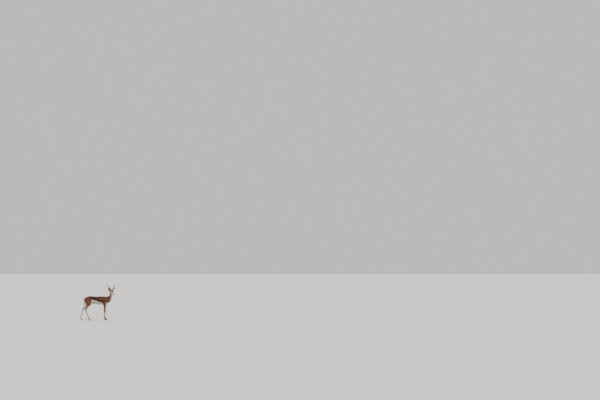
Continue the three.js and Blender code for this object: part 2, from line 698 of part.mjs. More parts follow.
// Mouth line, carved round the muzzle from corner to corner on the skin
const onSkin = (p) => settle(headField, p, 12);
const halfMouth = [
  [NOSE_X - 80, 30, -15],
  [NOSE_X - 55, 26, -17],
  [NOSE_X - 32, 22, -15.5],
  [NOSE_X - 12, 15, -14],
  [NOSE_X, 6, -12.5],
];
const mouth = curveThrough(
  [...halfMouth.map(([x, y, z]) => onSkin([x, -y, z])), ...halfMouth.map(onSkin).reverse()],
);
head = head.subtract(sweep(mouth, 22, 5, () => [4.2, 1.3], new THREE.Vector3(0, 0, 1)));

// Nostrils: slanting commas
for (const s of [-1, 1]) {
  const nostril = curveThrough([
    onSkin([NOSE_X - 16, s * 17, 8]),
    onSkin([NOSE_X - 8, s * 13, 5]),
    onSkin([NOSE_X - 1, s * 7, 0]),
  ]);
  const flare = (t) => [3.6, 1.2 + 1.6 * smooth(t)];
  head = head.subtract(sweep(nostril, 5, 6, flare, new THREE.Vector3(0, 0, 1)));
}

// Horns: lyre-shaped, ringed for most of their length
function hornRadius(t) {
  const taper = lerp(19.5, 8.6, clamp(t / 0.8));
  return t > 0.8 ? taper * lerp(1, 0.22, ((t - 0.8) / 0.2) ** 1.3) : taper;
}

// Rings of a horn between two places along it, grown by grow
function hornRings(s, stations, grow = () => 0) {
  const line = hornLine(s);
  return stations.map((t, n) => {
    const middle = line.getPointAt(t);
    const along = line.getTangentAt(t);
    const across = new THREE.Vector3().crossVectors(HEAD_BACK, along).normalize();
    const deep = new THREE.Vector3().crossVectors(along, across);
    const r = hornRadius(t) + grow(t, n);
    return Array.from({ length: 8 }, (_, j) => {
      const a = (2 * Math.PI * j) / 8;
      return middle
        .clone()
        .addScaledVector(across, r * 0.94 * Math.cos(a))
        .addScaledVector(deep, r * 1.06 * Math.sin(a));
    });
  });
}

function horn(s) {
  const RINGS = 13;
  const RINGED = 0.72;
  const PER_RING = 3;
  const stations = [];
  for (let i = 0; i < RINGS * PER_RING; i++) stations.push((RINGED * i) / (RINGS * PER_RING));
  for (let i = 0; i <= 6; i++) stations.push(lerp(RINGED, 1, i / 6));
  const ridge = (t, n) => (t < RINGED && t > 0.04 && n % PER_RING === 1 ? 0.12 * hornRadius(t) : 0);
  return loft(hornRings(s, stations, ridge));
}

// What a horn takes out of the head: its flat seat, and room behind it
function hornSeat(s) {
  const rings = hornRings(s, [0, 0.06, 0.14, 0.24, 0.34], (t) => 0.14 * hornRadius(t) + 0.8);
  const drop = hornLine(s).getTangentAt(0).multiplyScalar(GAP);
  rings[0].forEach((p) => p.sub(drop));
  return loft(rings);
}

// Ears: leaf-shaped cups, opening forwards and outwards
function ear(s) {
  const root = sideOf(s, EAR_ROOT);
  const axis = new THREE.Vector3(-0.08, s * 0.73, 0.68).normalize();
  const face = new THREE.Vector3(0.93, s * 0.18, -0.32).projectOnPlane(axis).normalize();
  const across = new THREE.Vector3().crossVectors(face, axis).normalize();
  const steps = 12;
  const arc = 6;
  const rings = [];
  for (let i = 0; i <= steps; i++) {
    const t = i / steps;
    // narrow at the root, widest a little below the middle, pointed at the tip
    const leaf = Math.sin(Math.PI * clamp(0.1 + 0.9 * t) ** 0.82) ** 0.75;
    const half = (EAR_WIDTH / 2) * Math.max(leaf, 0.06);
    const open = lerp(2.3, 0.9, smooth(clamp(t / 0.5)));
    const radius = half / Math.sin(Math.min(open, Math.PI / 2));
    const thick = lerp(6, 3, t);
    const middle = root
      .clone()
      .addScaledVector(axis, EAR_LENGTH * t)
      .addScaledVector(face, -9 * Math.sin(Math.PI * t) - radius * Math.cos(Math.min(open, Math.PI / 2)));
    const rim = (a, r) =>
      middle
        .clone()
        .addScaledVector(across, r * Math.sin(a))
        .addScaledVector(face, radius - r * Math.cos(a));
    const outer = [];
    const inner = [];
    for (let j = 0; j <= arc; j++) {
      const a = lerp(-open, open, j / arc);
      const edge = Math.abs(2 * (j / arc) - 1) ** 2;
      outer.push(rim(a, radius));
      inner.unshift(rim(a * 0.97, Math.max(radius - thick * (1 - 0.5 * edge), radius * 0.4)));
    }
    rings.push([...outer, ...inner]);
  }
  return loft(rings, "strip");
}

for (const s of Object.values(SIDE)) head = head.subtract(hornSeat(s));
head = addNode("head", head, "flesh", headGroup);
for (const [side, s] of Object.entries(SIDE)) {
  addNode(`horn_${side}`, horn(s), "horn", headGroup);
  addNode(`ear_${side}`, ear(s).subtract(grown(head)), "flesh", headGroup);
  addNode(`eye_${side}`, ball(sideOf(s, ORBIT), EYE_RADIUS, 12, 9), "eye", headGroup);
}

// Stands the animal with the middle of its box over the origin
springbok.updateMatrixWorld(true);
const whole = new THREE.Box3().setFromObject(springbok, true);
springbok.position.set(-(whole.min.x + whole.max.x) / 2, -(whole.min.y + whole.max.y) / 2, -whole.min.z);

export default springbok;
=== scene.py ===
"""A life-size springbok ram, standing side-on with its head turned to its right.

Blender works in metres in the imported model's frame. The body is described in millimetres in the
animal's own frame: +X forward, +Y to its left, +Z up, hooves on z = 0. One smooth field of named
masses gives the skin, and tufts of short hair lie over it.
"""

import json
import math

import bmesh
import bpy
import numpy as np
import openvdb
from mathutils import Euler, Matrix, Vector
from mathutils.kdtree import KDTree

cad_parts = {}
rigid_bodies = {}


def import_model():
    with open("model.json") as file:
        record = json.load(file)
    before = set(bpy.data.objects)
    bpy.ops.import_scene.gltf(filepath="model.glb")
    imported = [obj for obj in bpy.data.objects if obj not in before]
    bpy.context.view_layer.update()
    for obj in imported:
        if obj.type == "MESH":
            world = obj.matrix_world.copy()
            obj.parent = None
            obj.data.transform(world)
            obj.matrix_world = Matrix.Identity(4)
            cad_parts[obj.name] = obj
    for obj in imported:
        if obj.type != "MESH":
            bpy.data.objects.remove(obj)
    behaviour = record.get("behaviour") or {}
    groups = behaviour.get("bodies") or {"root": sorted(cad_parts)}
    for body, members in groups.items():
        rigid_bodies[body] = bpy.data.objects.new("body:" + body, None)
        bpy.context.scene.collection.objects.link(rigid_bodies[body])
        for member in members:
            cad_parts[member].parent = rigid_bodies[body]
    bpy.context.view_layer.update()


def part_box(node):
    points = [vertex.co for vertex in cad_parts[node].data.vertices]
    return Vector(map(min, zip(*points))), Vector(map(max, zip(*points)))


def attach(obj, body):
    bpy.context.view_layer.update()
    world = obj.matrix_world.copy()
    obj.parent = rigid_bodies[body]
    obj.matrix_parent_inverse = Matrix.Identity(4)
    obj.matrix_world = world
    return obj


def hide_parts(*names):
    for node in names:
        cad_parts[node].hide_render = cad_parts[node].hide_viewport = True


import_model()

MM = 0.001
FAR = 60  # a distance that is surely outside
SIDES = {"right": -1, "left": 1}

# Driving dimensions, in mm
WITHERS_HEIGHT = 798
BACK_HEIGHT = 804
CROUP_HEIGHT = 824
BRISKET_HEIGHT = 522
RUMP_X = -407
BREAST_X = 480
HIP_X = -300
CHEST_HALF_WIDTH = 112
LEG_SPREAD = 72
KNEE_HEIGHT = 288
FETLOCK_HEIGHT = 78
CORONET_HEIGHT = 36
TAIL_LENGTH = 245
HEAD_YAW = math.radians(58)
HEAD_PITCH = math.radians(40)
HEAD_LENGTH = 255
HORN_RISE = 230
HORN_SPREAD = 280
EAR_LENGTH = 188
EAR_WIDTH = 62
EYE_RADIUS = 17.5

# How deep the coat is, from skin to the tips of the hair
BODY_COAT = 6.5
LEG_COAT = 2.6
FACE_COAT = 1.6

# The head's own frame, from the two eyes: origin in the braincase, +X to the nose, +Z to the crown
ORBIT = np.array([55, 28.5, 18])
HEAD_TURN = np.array(Euler((0, HEAD_PITCH, -HEAD_YAW), "XYZ").to_matrix())
HEAD_CENTRE = np.array([484, -22, 966])


def middle_of(node):
    low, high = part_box(node)
    return np.array(low + high) / 2 / MM


between_eyes = (middle_of("eye_right") + middle_of("eye_left")) / 2
SHIFT = between_eyes - HEAD_TURN @ (ORBIT * [1, 0, 1]) - HEAD_CENTRE


def to_frame(points):
    """The animal's millimetres to the frame's metres."""
    return (np.asarray(points) + SHIFT) * MM


def head_to_body(points):
    return np.asarray(points) @ HEAD_TURN.T + HEAD_CENTRE


def body_to_head(points):
    return (np.asarray(points) - HEAD_CENTRE) @ HEAD_TURN


def smooth(t):
    t = np.clip(t, 0, 1)
    return t * t * (3 - 2 * t)


def rise(value, low, high):
    """0 below low, 1 above high, and a smooth step between."""
    return smooth((value - low) / (high - low))


def fall(value, low, high):
    """1 below low and 0 above high."""
    return 1 - rise(value, low, high)


def lerp(a, b, t):
    return a + (b - a) * t


def mix(colour, other, share):
    """Colours drawn towards another one, by a share for each point."""
    return lerp(colour, other, share[:, None])


def circle(count):
    """Angles evenly spaced round a circle."""
    return np.linspace(0, 2 * np.pi, count, endpoint=False)


def unit(v):
    return v / np.maximum(np.linalg.norm(v, axis=-1, keepdims=True), 1e-9)


def curve(points, count):
    """count points along a centripetal Catmull-Rom curve, evenly spaced."""
    p = np.array(points, float)
    p = np.vstack([2 * p[0] - p[1], p, 2 * p[-1] - p[-2]])
    knots = np.concatenate([[0], np.cumsum(np.linalg.norm(np.diff(p, axis=0), axis=1) ** 0.5)])
    fine = []
    for i in range(1, len(p) - 2):
        k = knots[i - 1 : i + 3]
        t = np.linspace(k[1], k[2], 24, endpoint=False)[:, None]
        a = [(p[i - 1 + j] * (k[j + 1] - t) + p[i + j] * (t - k[j])) / (k[j + 1] - k[j]) for j in range(3)]
        b = [(a[j] * (k[j + 2] - t) + a[j + 1] * (t - k[j])) / (k[j + 2] - k[j]) for j in range(2)]
        fine.append((b[0] * (k[2] - t) + b[1] * (t - k[1])) / (k[2] - k[1]))
    fine = np.vstack([*fine, p[-2][None]])
    length = np.concatenate([[0], np.cumsum(np.linalg.norm(np.diff(fine, axis=0), axis=1))])
    at = np.linspace(0, length[-1], count)
    return np.stack([np.interp(at, length, fine[:, n]) for n in range(3)], axis=1)


# Colours, all as they look on screen


def srgb(*rgb):
    c = np.array(rgb) / 255
    return np.where(c <= 0.04045, c / 12.92, ((c + 0.055) / 1.055) ** 2.4)


BACK = srgb(80, 46, 28)
# the flank band's colour, also used for painted shade in the fold in front of the thigh
SIDE = srgb(98, 57, 34)
BAND_AND_FOLD_SHADE = srgb(26, 12, 8)
PALE = srgb(212, 192, 170)
HAUNCH = srgb(110, 70, 46)
LEG = srgb(112, 68, 40)
CROWN = srgb(92, 62, 40)
STRIPE = srgb(62, 30, 17)
BARE = srgb(34, 25, 22)
EAR = srgb(76, 52, 36)
EAR_SKIN = srgb(66, 48, 40)
HORN = srgb(58, 50, 45)
HOOF = srgb(52, 46, 42)
IRIS = srgb(58, 30, 16)
PUPIL = srgb(9, 8, 12)
EYE_WHITE = srgb(70, 52, 44)
TUFT = srgb(24, 14, 10)

# Masses: tapered capsules, squeezed sideways by the factor wide, melted together over a distance


def mass(a, b, r, wide=1.0, melt=30):
    return np.array(a, float), np.array(b, float), r, wide, melt


def thinner(masses, depth):
    """The same masses less the depth of the coat."""
    return [(a, b, [r[0] - depth, r[1] - depth], wide, melt) for a, b, r, wide, melt in masses]


def distance(m, x, y, z):
    a, b, r, wide, _ = m
    dx, dy, dz = (b - a) / [1, wide, 1]
    px = x - a[0]
    py = (y - a[1]) / wide
    pz = z - a[2]
    long = dx * dx + dy * dy + dz * dz
    t = np.clip((px * dx + py * dy + pz * dz) / long, 0, 1) if long > 0 else 0
    d = np.sqrt((px - t * dx) ** 2 + (py - t * dy) ** 2 + (pz - t * dz) ** 2)
    return (d - lerp(r[0], r[1], t)) * min(1, wide)


def melted(a, b, k):
    h = np.maximum(k - np.abs(a - b), 0) / k
    return np.minimum(a, b) - h * h * k / 4


def both_sides(make):
    return [make(-1), make(1)]


# Trunk
chest_radius = (WITHERS_HEIGHT - 12 - BRISKET_HEIGHT) / 2
chest_z = BRISKET_HEIGHT + chest_radius
chest_wide = CHEST_HALF_WIDTH / chest_radius
TRUNK = [
    mass([210, 0, chest_z], [70, 0, chest_z + 6], [chest_radius, chest_radius + 2], chest_wide, 1),
    mass([70, 0, chest_z + 6], [-90, 0, BACK_HEIGHT - 142], [chest_radius + 2, 128], chest_wide, 30),
    mass([-60, 0, BACK_HEIGHT - 119], [-215, 0, CROUP_HEIGHT - 120], [108, 108], 0.84, 40),
    mass([-215, 0, CROUP_HEIGHT - 122], [RUMP_X + 88, 0, 684], [108, 88], 0.95, 40),
    mass([140, 0, 728], [376, 0, WITHERS_HEIGHT - 62], [60, 54], 0.6, 44),
    mass([290, 0, 652], [BREAST_X - 84, 0, 680], [106, 80], 0.78, 40),
    *both_sides(lambda s: mass([215, s * 58, 728], [345, s * 76, 626], [44, 58], 0.55, 40)),
    *both_sides(lambda s: mass([345, s * 74, 622], [265, s * 80, 548], [54, 46], 0.6, 30)),
    *both_sides(lambda s: mass([-255, s * 62, 740], [-230, s * 80, 734], [34, 22], 0.8, 46)),
]
NECK = [
    mass([376, 0, 694], [458, -2, 782], [82, 54], 0.72, 40),
    mass([458, -2, 782], [470, -7, 884], [50, 46], 0.76, 30),
    mass([470, -7, 884], [474, -14, 948], [46, 45], 0.8, 24),
]
HOLLOWS = [
    *both_sides(lambda s: mass([-150, s * 128, 668], [-120, s * 132, 640], [34, 30], 0.6, 60)),
    *both_sides(lambda s: mass([402, s * 104, 735], [388, s * 104, 690], [22, 22], 0.9, 60)),
]

# Legs, as [x, out from the midline, z]
FORE = {
    "right": {"elbow": [262, 80, 545], "knee": [260, 73, KNEE_HEIGHT], "fetlock": 266, "lean": 0.5},
    "left": {"elbow": [280, 80, 545], "knee": [302, 73, KNEE_HEIGHT], "fetlock": 303, "lean": 0.5},
}
HIND = {
    "right": {"stifle": [-222, 84, 560], "hock": [-357, 76, 356], "fetlock": -256, "lean": 0.95},
    "left": {"stifle": [-258, 84, 548], "hock": [-438, 76, 368], "fetlock": -507, "lean": 0.5},
}
LEGS = [(kind, side, leg) for kind, legs in (("fore", FORE), ("hind", HIND)) for side, leg in legs.items()]
for _, _, leg in LEGS:
    leg["fetlock"] = [leg["fetlock"], LEG_SPREAD, FETLOCK_HEIGHT]
    pastern = leg["lean"] * (FETLOCK_HEIGHT - CORONET_HEIGHT) + 4
    leg["coronet"] = [leg["fetlock"][0] + pastern, LEG_SPREAD, CORONET_HEIGHT]


def on_side(side, joint, dx=0, dz=0):
    return [joint[0] + dx, SIDES[side] * joint[1], joint[2] + dz]


def limb(side, rows):
    """Masses from rows of two joints, each with its shift forward and up, two radii, width and melt."""
    return [
        mass(on_side(side, a, ax, az), on_side(side, b, bx, bz), [ra, rb], wide, melt)
        for a, ax, az, b, bx, bz, ra, rb, wide, melt in rows
    ]


def foot_masses(side, leg):
    fetlock = leg["fetlock"]
    coronet = leg["coronet"]
    below = [coronet[0] + 16 * leg["lean"], coronet[1], CORONET_HEIGHT - 22]
    rows = [
        (fetlock, -2, 4, fetlock, 1, -4, 16.5, 16, 0.9, 14),
        (fetlock, 2, -6, coronet, 0, 0, 13.5, 15, 1.05, 12),
        (coronet, 0, 0, below, 0, 0, 15, 16, 1.12, 8),
    ]
    for across in (-8, 8):
        claw = [fetlock[0] - 15, fetlock[1] + across, fetlock[2] - 11]
        rows.append((claw, 0, 0, claw, -3, -5, 6, 5, 1, 7))
    return limb(side, rows)


def foreleg_masses(side):
    leg = FORE[side]
    elbow, knee, fetlock = (leg[joint] for joint in ("elbow", "knee", "fetlock"))
    rows = [
        (elbow, 4, 0, knee, 1, 60, 42, 22, 0.78, 26),
        (elbow, -30, -2, elbow, -18, -24, 15, 12, 0.7, 24),
        (knee, 1, 60, knee, 2, 12, 22, 20.5, 0.82, 20),
        (knee, 2, 12, knee, 1, -14, 20.5, 18.5, 0.86, 16),
        (knee, 0, -14, fetlock, 0, 30, 16.5, 14, 0.86, 22),
        (fetlock, 0, 30, fetlock, 0, 0, 14, 15.5, 0.88, 12),
    ]
    return limb(side, rows) + foot_masses(side, leg)


def hindleg_masses(side):
    leg = HIND[side]
    stifle, hock, fetlock = (leg[joint] for joint in ("stifle", "hock", "fetlock"))
    hip = [HIP_X + 6, 56, 696]
    back = 0.5 * (hock[0] - stifle[0])
    rows = [
        (hip, 0, 0, stifle, -22, 18, 92, 56, 0.56, 40),
        (hip, -44, -26, stifle, back * 0.6 - 8, -4, 62, 44, 0.55, 34),
        (stifle, 4, 20, stifle, -6, -22, 34, 34, 0.8, 26),
        (stifle, -18, -10, hock, 26, 50, 48, 23, 0.62, 26),
        (hock, 26, 50, hock, 6, 8, 22, 21, 0.7, 20),
        (hock, -15, 24, hock, -5, -16, 13.5, 15, 0.76, 16),
        (hock, 4, 62, hock, -14, 26, 8, 9.5, 0.8, 16),
        (hock, 3, 2, fetlock, 0, 30, 19, 14.6, 0.82, 18),
        (fetlock, 0, 30, fetlock, 0, 0, 14.6, 16, 0.88, 12),
    ]
    return limb(side, rows) + foot_masses(side, leg)


LEG_MASSES = {}
for side in SIDES:
    LEG_MASSES[f"foreleg_{side}"] = foreleg_masses(side)
    LEG_MASSES[f"hindleg_{side}"] = hindleg_masses(side)

# Head, in its own frame
NOSE_X = HEAD_LENGTH - 50
EAR_ROOT = np.array([-42, 40, -6])
HORN_BASE = np.array([9, 33, 53])
HEAD_UP = np.array([-math.sin(HEAD_PITCH), 0, math.cos(HEAD_PITCH)])
HEAD_BACK = np.array([-math.cos(HEAD_PITCH), 0, -math.sin(HEAD_PITCH)])
HEAD_LEVEL = unit(np.array([-0.35, 0, 1]))


def ear_axes(s):
    """Along the ear to its tip, out of its open side, and across it."""
    axis = unit(np.array([-0.08, s * 0.73, 0.68]))
    face = np.array([0.93, s * 0.18, -0.32])
    face = unit(face - axis * face.dot(axis))
    return axis, face, np.cross(face, axis)


def horn_line(s, count):
    """Lyre-shaped, leaning back and then bending upright."""
    half = HORN_SPREAD / 2
    shape = [
        (HORN_BASE[1], 0, 0),
        (47, 0.15, 0.07),
        (half * 0.52, 0.33, 0.155),
        (half * 0.75, 0.5, 0.235),
        (half * 0.95, 0.66, 0.3),
        (half, 0.78, 0.335),
        (half * 0.93, 0.9, 0.34),
        (half * 0.72, 1, 0.315),
    ]
    points = []
    for out, up, aft in shape:
        point = HORN_BASE + HEAD_UP * up * HORN_RISE + HEAD_BACK * aft * HORN_RISE
        points.append([point[0], s * out, point[2]])
    return curve(points, count)


def pedicle(s):
    line = horn_line(s, 60)
    along = unit(line[1] - line[0])
    return mass(line[0] - 24 * along, line[0] - 5 * along, [22, 21], 1, 12)


SKULL = [
    mass([-8, 0, 6], [26, 0, 8], [43, 42], 0.94, 22),
    mass([22, 0, 0], [78, 0, -3], [44, 35], 0.92, 18),
    mass([70, 0, 1], [NOSE_X - 20, 0, -5], [33, 18], 0.84, 20),
    mass([4, 0, -28], [60, 0, -24], [28, 25], 1, 18),
    mass([50, 0, -28], [NOSE_X - 30, 0, -22], [23, 10.5], 0.9, 9),
    mass([24, 0, 36], [60, 0, 27], [21, 17], 1.3, 14),
    mass([NOSE_X - 17, 0, 0], [NOSE_X - 12, 0, -2], [15.5, 14.5], 1.08, 9),
    *both_sides(lambda s: mass([20, s * 25, 6], [66, s * 27, -2], [20, 15], 0.9, 14)),
    *both_sides(lambda s: mass([38, s * 28, 33], [66, s * 28, 33], [12, 9.5], 1, 10)),
    *both_sides(lambda s: mass([8, s * 24, -28], [50, s * 23, -19], [21, 14], 0.7, 14)),
    *both_sides(lambda s: mass([-30, s * 26, 0], EAR_ROOT * [1, s, 1], [16, 13], 1, 18)),
    pedicle(-1),
    pedicle(1),
]


def eye_axes(s):
    """Out of the eye, along the slit of the lids towards the nose, and up across it."""
    out = unit(np.array([0.34, s * 0.92, 0.14]))
    along = np.array([0.94, -s * 0.32, -0.2])
    along = unit(along - out * along.dot(out))
    return out, along, -s * np.cross(out, along)


def chain(points, radii, melt):
    """Masses end to end along a line."""
    return [
        mass(points[i], points[i + 1], [radii[i], radii[i + 1]], 1, melt) for i in range(len(points) - 1)
    ]


LID_STEPS = 24


def lid_slit(s):
    """The almond opening between the lids, as masses to carve from the shell over the eyeball."""
    out, along, over = eye_axes(s)
    turn = np.linspace(-0.98, 0.98, 11)
    way = np.outer(np.cos(turn), out) + np.outer(np.sin(turn), along)
    line = ORBIT * [1, s, 1] + (EYE_RADIUS + 1) * way
    wide = np.clip(1 - turn**2, 0, 1)
    line += np.outer(1.3 * wide, over)
    return chain(line, list(1.0 + 7.6 * wide**0.85), 1.5)


def lid_arc(s, height, radius, spread=0.9, count=LID_STEPS):
    """A line over the lids, height above (or below) the middle of the slit."""
    out, along, over = eye_axes(s)
    turn = np.linspace(-spread, spread, count)
    high = height * (1 - 0.55 * (turn / spread) ** 2)
    way = np.outer(np.cos(turn), out) + np.outer(np.sin(turn), along) + np.outer(high / EYE_RADIUS, over)
    return ORBIT * [1, s, 1] + unit(way) * radius


# The dock of the tail hangs behind the rump
TAIL_LINE = curve(
    [
        [RUMP_X + 34, 0, 748],
        [RUMP_X - 4, 0, 742],
        [RUMP_X - 14, 0, 700],
        [RUMP_X - 6, 0, 640],
        [RUMP_X + 2, 0, 748 - TAIL_LENGTH + 62],
    ],
    12,
)
TAIL = chain(TAIL_LINE, list(np.linspace(12, 4.5, 12)), 6)


class Clay:
    """A block of space sampled every cell mm, into which masses are melted."""

    def __init__(self, low, high, cell):
        self.low = np.array(low, float)
        self.cell = cell
        size = np.ceil((np.array(high) - self.low) / cell).astype(int) + 1
        self.values = np.full(size, FAR, np.float32)

    def region(self, masses, turn, centre, margin):
        """The part of the block that masses reach, as a low and a high index."""
        ends = (np.array([p for m in masses for p in m[:2]]) - centre) @ turn
        reach = max(max(m[2]) * max(1, m[3]) for m in masses) + margin
        low = np.floor((ends.min(0) - reach - self.low) / self.cell).astype(int)
        high = np.ceil((ends.max(0) + reach - self.low) / self.cell).astype(int) + 1
        size = self.values.shape
        return np.clip(low, 0, size), np.clip(high, 0, size)

    def places(self, low, high, turn, centre):
        """x, y and z of the samples from low to high, in the frame of the masses."""
        shape = ((-1, 1, 1), (1, -1, 1), (1, 1, -1))
        axes = [
            (self.low[n] + self.cell * np.arange(low[n], high[n])).astype(np.float32).reshape(shape[n])
            for n in range(3)
        ]
        placed = []
        for row in range(3):
            value = np.float32(centre[row])
            for n in range(3):
                if abs(turn[row, n]) > 1e-9:
                    value = value + np.float32(turn[row, n]) * axes[n]
            placed.append(value)
        return placed

    def melt(self, masses, k, turn=np.eye(3), centre=np.zeros(3), carve=False):
        """Melts a group of masses in, or carves it out. turn and centre take the block to their frame."""
        start, end = self.region(masses, turn, centre, k + 4 * self.cell)
        if np.any(end <= start):
            return
        group = np.full(end - start, FAR, np.float32)
        for m in masses:
            low, high = self.region([m], turn, centre, m[4] + 4 * self.cell)
            low = np.maximum(low, start)
            high = np.minimum(high, end)
            if np.any(high <= low):
                continue
            own = tuple(slice(a, b) for a, b in zip(low - start, high - start))
            group[own] = melted(group[own], distance(m, *self.places(low, high, turn, centre)), m[4])
        whole = tuple(slice(a, b) for a, b in zip(start, end))
        if carve:
            self.values[whole] = -melted(-self.values[whole], group, k)
        else:
            self.values[whole] = melted(self.values[whole], group, k)

    def cut(self, point, normal, reach):
        """Takes away what lies behind a plane, within reach of a point on it."""
        low = np.maximum(np.floor((point - reach - self.low) / self.cell), 0).astype(int)
        high = np.minimum(np.ceil((point + reach - self.low) / self.cell), self.values.shape).astype(int)
        if np.any(high <= low):
            return
        place = tuple(slice(a, b) for a, b in zip(low, high))
        x, y, z = self.places(low, high, np.eye(3), np.zeros(3))
        behind = -sum(n * (v - c) for n, v, c in zip(unit(normal), (x, y, z), point))
        self.values[place] = np.maximum(self.values[place], behind)

    def surface(self):
        """Vertices and quads of the zero surface."""
        band_and_fold_shade = 3 * self.cell
        grid = openvdb.FloatGrid(band_and_fold_shade)
        grid.copyFromArray(np.clip(self.values, -band_and_fold_shade, band_and_fold_shade))
        points, _, quads = grid.convertToPolygons(isovalue=0.0, adaptivity=0.0)
        return points.astype(float) * self.cell + self.low, quads.astype(int)


def relax(points, faces, turns, pull=0.5):
    """Evens out a mesh by drawing each vertex towards its neighbours."""
    a = np.concatenate([faces.ravel(), np.roll(faces, -1, axis=1).ravel()])
    b = np.concatenate([np.roll(faces, -1, axis=1).ravel(), faces.ravel()])
    count = np.bincount(a, minlength=len(points))[:, None]
    for _ in range(turns):
        mean = np.stack([np.bincount(a, points[b, n], len(points)) for n in range(3)], axis=1)
        points = lerp(points, mean / count, pull)
    return points


def add_body(clay, turn=np.eye(3), centre=np.zeros(3)):
    clay.melt(thinner(TRUNK, BODY_COAT), 1, turn, centre)
    for hollow in HOLLOWS:
        clay.melt([hollow], hollow[4], turn, centre, carve=True)
    for masses in LEG_MASSES.values():
        clay.melt(thinner(masses, LEG_COAT), 30, turn, centre)
    clay.melt(thinner(NECK, BODY_COAT), 44, turn, centre)


def field_at(points, masses):
    """The melted distance of a group of masses at some points."""
    x, y, z = np.asarray(points, float).T
    d = np.full(len(x), float(FAR))
    for m in masses:
        d = melted(d, distance(m, x, y, z), m[4])
    return d


def slope_at(points, masses):
    base = field_at(points, masses)
    steps = [field_at(points + 0.5 * np.eye(3)[n], masses) - base for n in range(3)]
    return base, np.stack(steps, axis=1) * 2


def on_skin(points, masses, turns=4):
    """Moves points on to the surface of a group of masses."""
    points = np.array(points, float)
    for _ in range(turns):
        d, slope = slope_at(points, masses)
        points -= (d / np.maximum((slope**2).sum(1), 0.05))[:, None] * slope
    return points


# Head features, in the head's frame

FACE = thinner(SKULL, FACE_COAT)
half_mouth = np.array(
    [
        [NOSE_X - 80, 30, -15],
        [NOSE_X - 55, 26, -17],
        [NOSE_X - 32, 22, -15.5],
        [NOSE_X - 12, 15, -14],
        [NOSE_X, 6, -12.5],
    ]
)
mouth_points = np.vstack([half_mouth * [1, -1, 1], half_mouth[::-1]])
MOUTH = curve(on_skin(mouth_points, FACE), 60)


def nostril_line(s):
    points = [[NOSE_X - 16, s * 16.5, 8.5], [NOSE_X - 7, s * 14, 5.5], [NOSE_X, s * 7.5, -1.5]]
    return curve(on_skin(points, FACE), 12)


def add_head(clay):
    """Skull and its features, melted into a block that lies in the head's own frame."""
    clay.melt(FACE, 24)
    for s in (-1, 1):
        out, along, over = eye_axes(s)
        orbit = ORBIT * [1, s, 1]
        axis, face, _ = ear_axes(s)
        root = EAR_ROOT * [1, s, 1]
        clay.melt([mass(root - axis * 6, root + axis * 20, [18, 12], 1, 10)], 16)
        clay.melt([mass(root + face * 7 - axis * 4, root + face * 9 + axis * 4, [12, 9], 1, 10)], 12)
        # the shell of the lids, with a brow over it, a fold above and below, and the tear pit in front
        clay.melt([mass(orbit, orbit, [EYE_RADIUS + 2.3] * 2)], 9)
        clay.melt(chain(lid_arc(s, 13.5, EYE_RADIUS + 1.2), [3.2] * LID_STEPS, 4), 6)
        for height, spread, radius in ((10.6, 0.75, 0.8), (-10.4, 0.7, 0.6)):
            fold = chain(lid_arc(s, height, EYE_RADIUS + 3.0, spread), [radius] * LID_STEPS, 1)
            clay.melt(fold, 1.6, carve=True)
        clay.melt(lid_slit(s), 1.3, carve=True)
        pit = orbit + (EYE_RADIUS + 2) * (0.56 * out + 0.83 * along)
        clay.melt([mass(pit, pit + 9 * along - 2 * over, [1.6, 0.8], 1, 1)], 2, carve=True)
        clay.melt([mass(orbit, orbit, [EYE_RADIUS + 0.3] * 2)], 0.6, carve=True)
        line = nostril_line(s)
        _, proud = slope_at(line, FACE)
        proud = unit(proud)
        wing = line + 0.5 * proud + np.array([-1.0, s * 0.8, 3.0])
        clay.melt(chain(wing, list(np.linspace(1.4, 2.3, 12)), 6), 6)
        for depth, low, high in ((1.2, 1.5, 2.7), (-2.0, 1.4, 2.9), (-5.0, 1.2, 2.6), (-8.0, 1, 2)):
            clay.melt(chain(line + depth * proud, list(np.linspace(low, high, 12)), 1.5), 1.2, carve=True)
    # the upper and lower lip, and the line of the mouth between them
    inward = unit((MOUTH.mean(0) - MOUTH) * [1, 1, 0])
    clay.melt(chain(MOUTH + inward * 1.8 + [0, 0, 3.6], [3.0] * len(MOUTH), 3), 5)
    clay.melt(chain(MOUTH + inward * 2.6 - [0, 0, 3.4], [2.7] * len(MOUTH), 3), 5)
    _, proud = slope_at(MOUTH, FACE)
    for depth, radius in ((2.2, 1.5), (0.2, 1.1)):
        clay.melt(chain(MOUTH + depth * unit(proud), [radius] * len(MOUTH), 1), 1.2, carve=True)
    # the groove from the nose to the upper lip
    philtrum = [[NOSE_X + 3.4, 0, 0], [NOSE_X + 2.0, 0, -11]]
    clay.melt([mass(*philtrum, [0.9, 0.9], 1, 1)], 1.8, carve=True)


def normals_of(points, faces):
    """Vertex normals of a mesh of triangles or quads."""
    a, b, c = points[faces[:, 0]], points[faces[:, 1]], points[faces[:, 2]]
    flat = np.cross(b - a, c - a)
    if faces.shape[1] == 4:
        flat = np.cross(c - a, points[faces[:, 3]] - b)
    sums = np.zeros_like(points)
    for n in range(3):
        sums[:, n] = np.bincount(faces.ravel(), np.repeat(flat[:, n], faces.shape[1]), len(points))
    return unit(sums)


def new_object(name, points, faces, slot="coat"):
    """A piece that rides on the body, from millimetres in the animal's frame."""
    mesh = bpy.data.meshes.new(name)
    faces = np.asarray(faces)
    mesh.vertices.add(len(points))
    mesh.vertices.foreach_set("co", to_frame(points).astype(np.float32).ravel())
    mesh.loops.add(faces.size)
    mesh.loops.foreach_set("vertex_index", faces.astype(np.int32).ravel())
    mesh.polygons.add(len(faces))
    mesh.polygons.foreach_set("loop_start", np.arange(0, faces.size, faces.shape[1], dtype=np.int32))
    mesh.update(calc_edges=True)
    mesh.polygons.foreach_set("use_smooth", np.ones(len(faces), bool))
    piece = bpy.data.objects.new(name, mesh)
    bpy.context.scene.collection.objects.link(piece)
    return piece


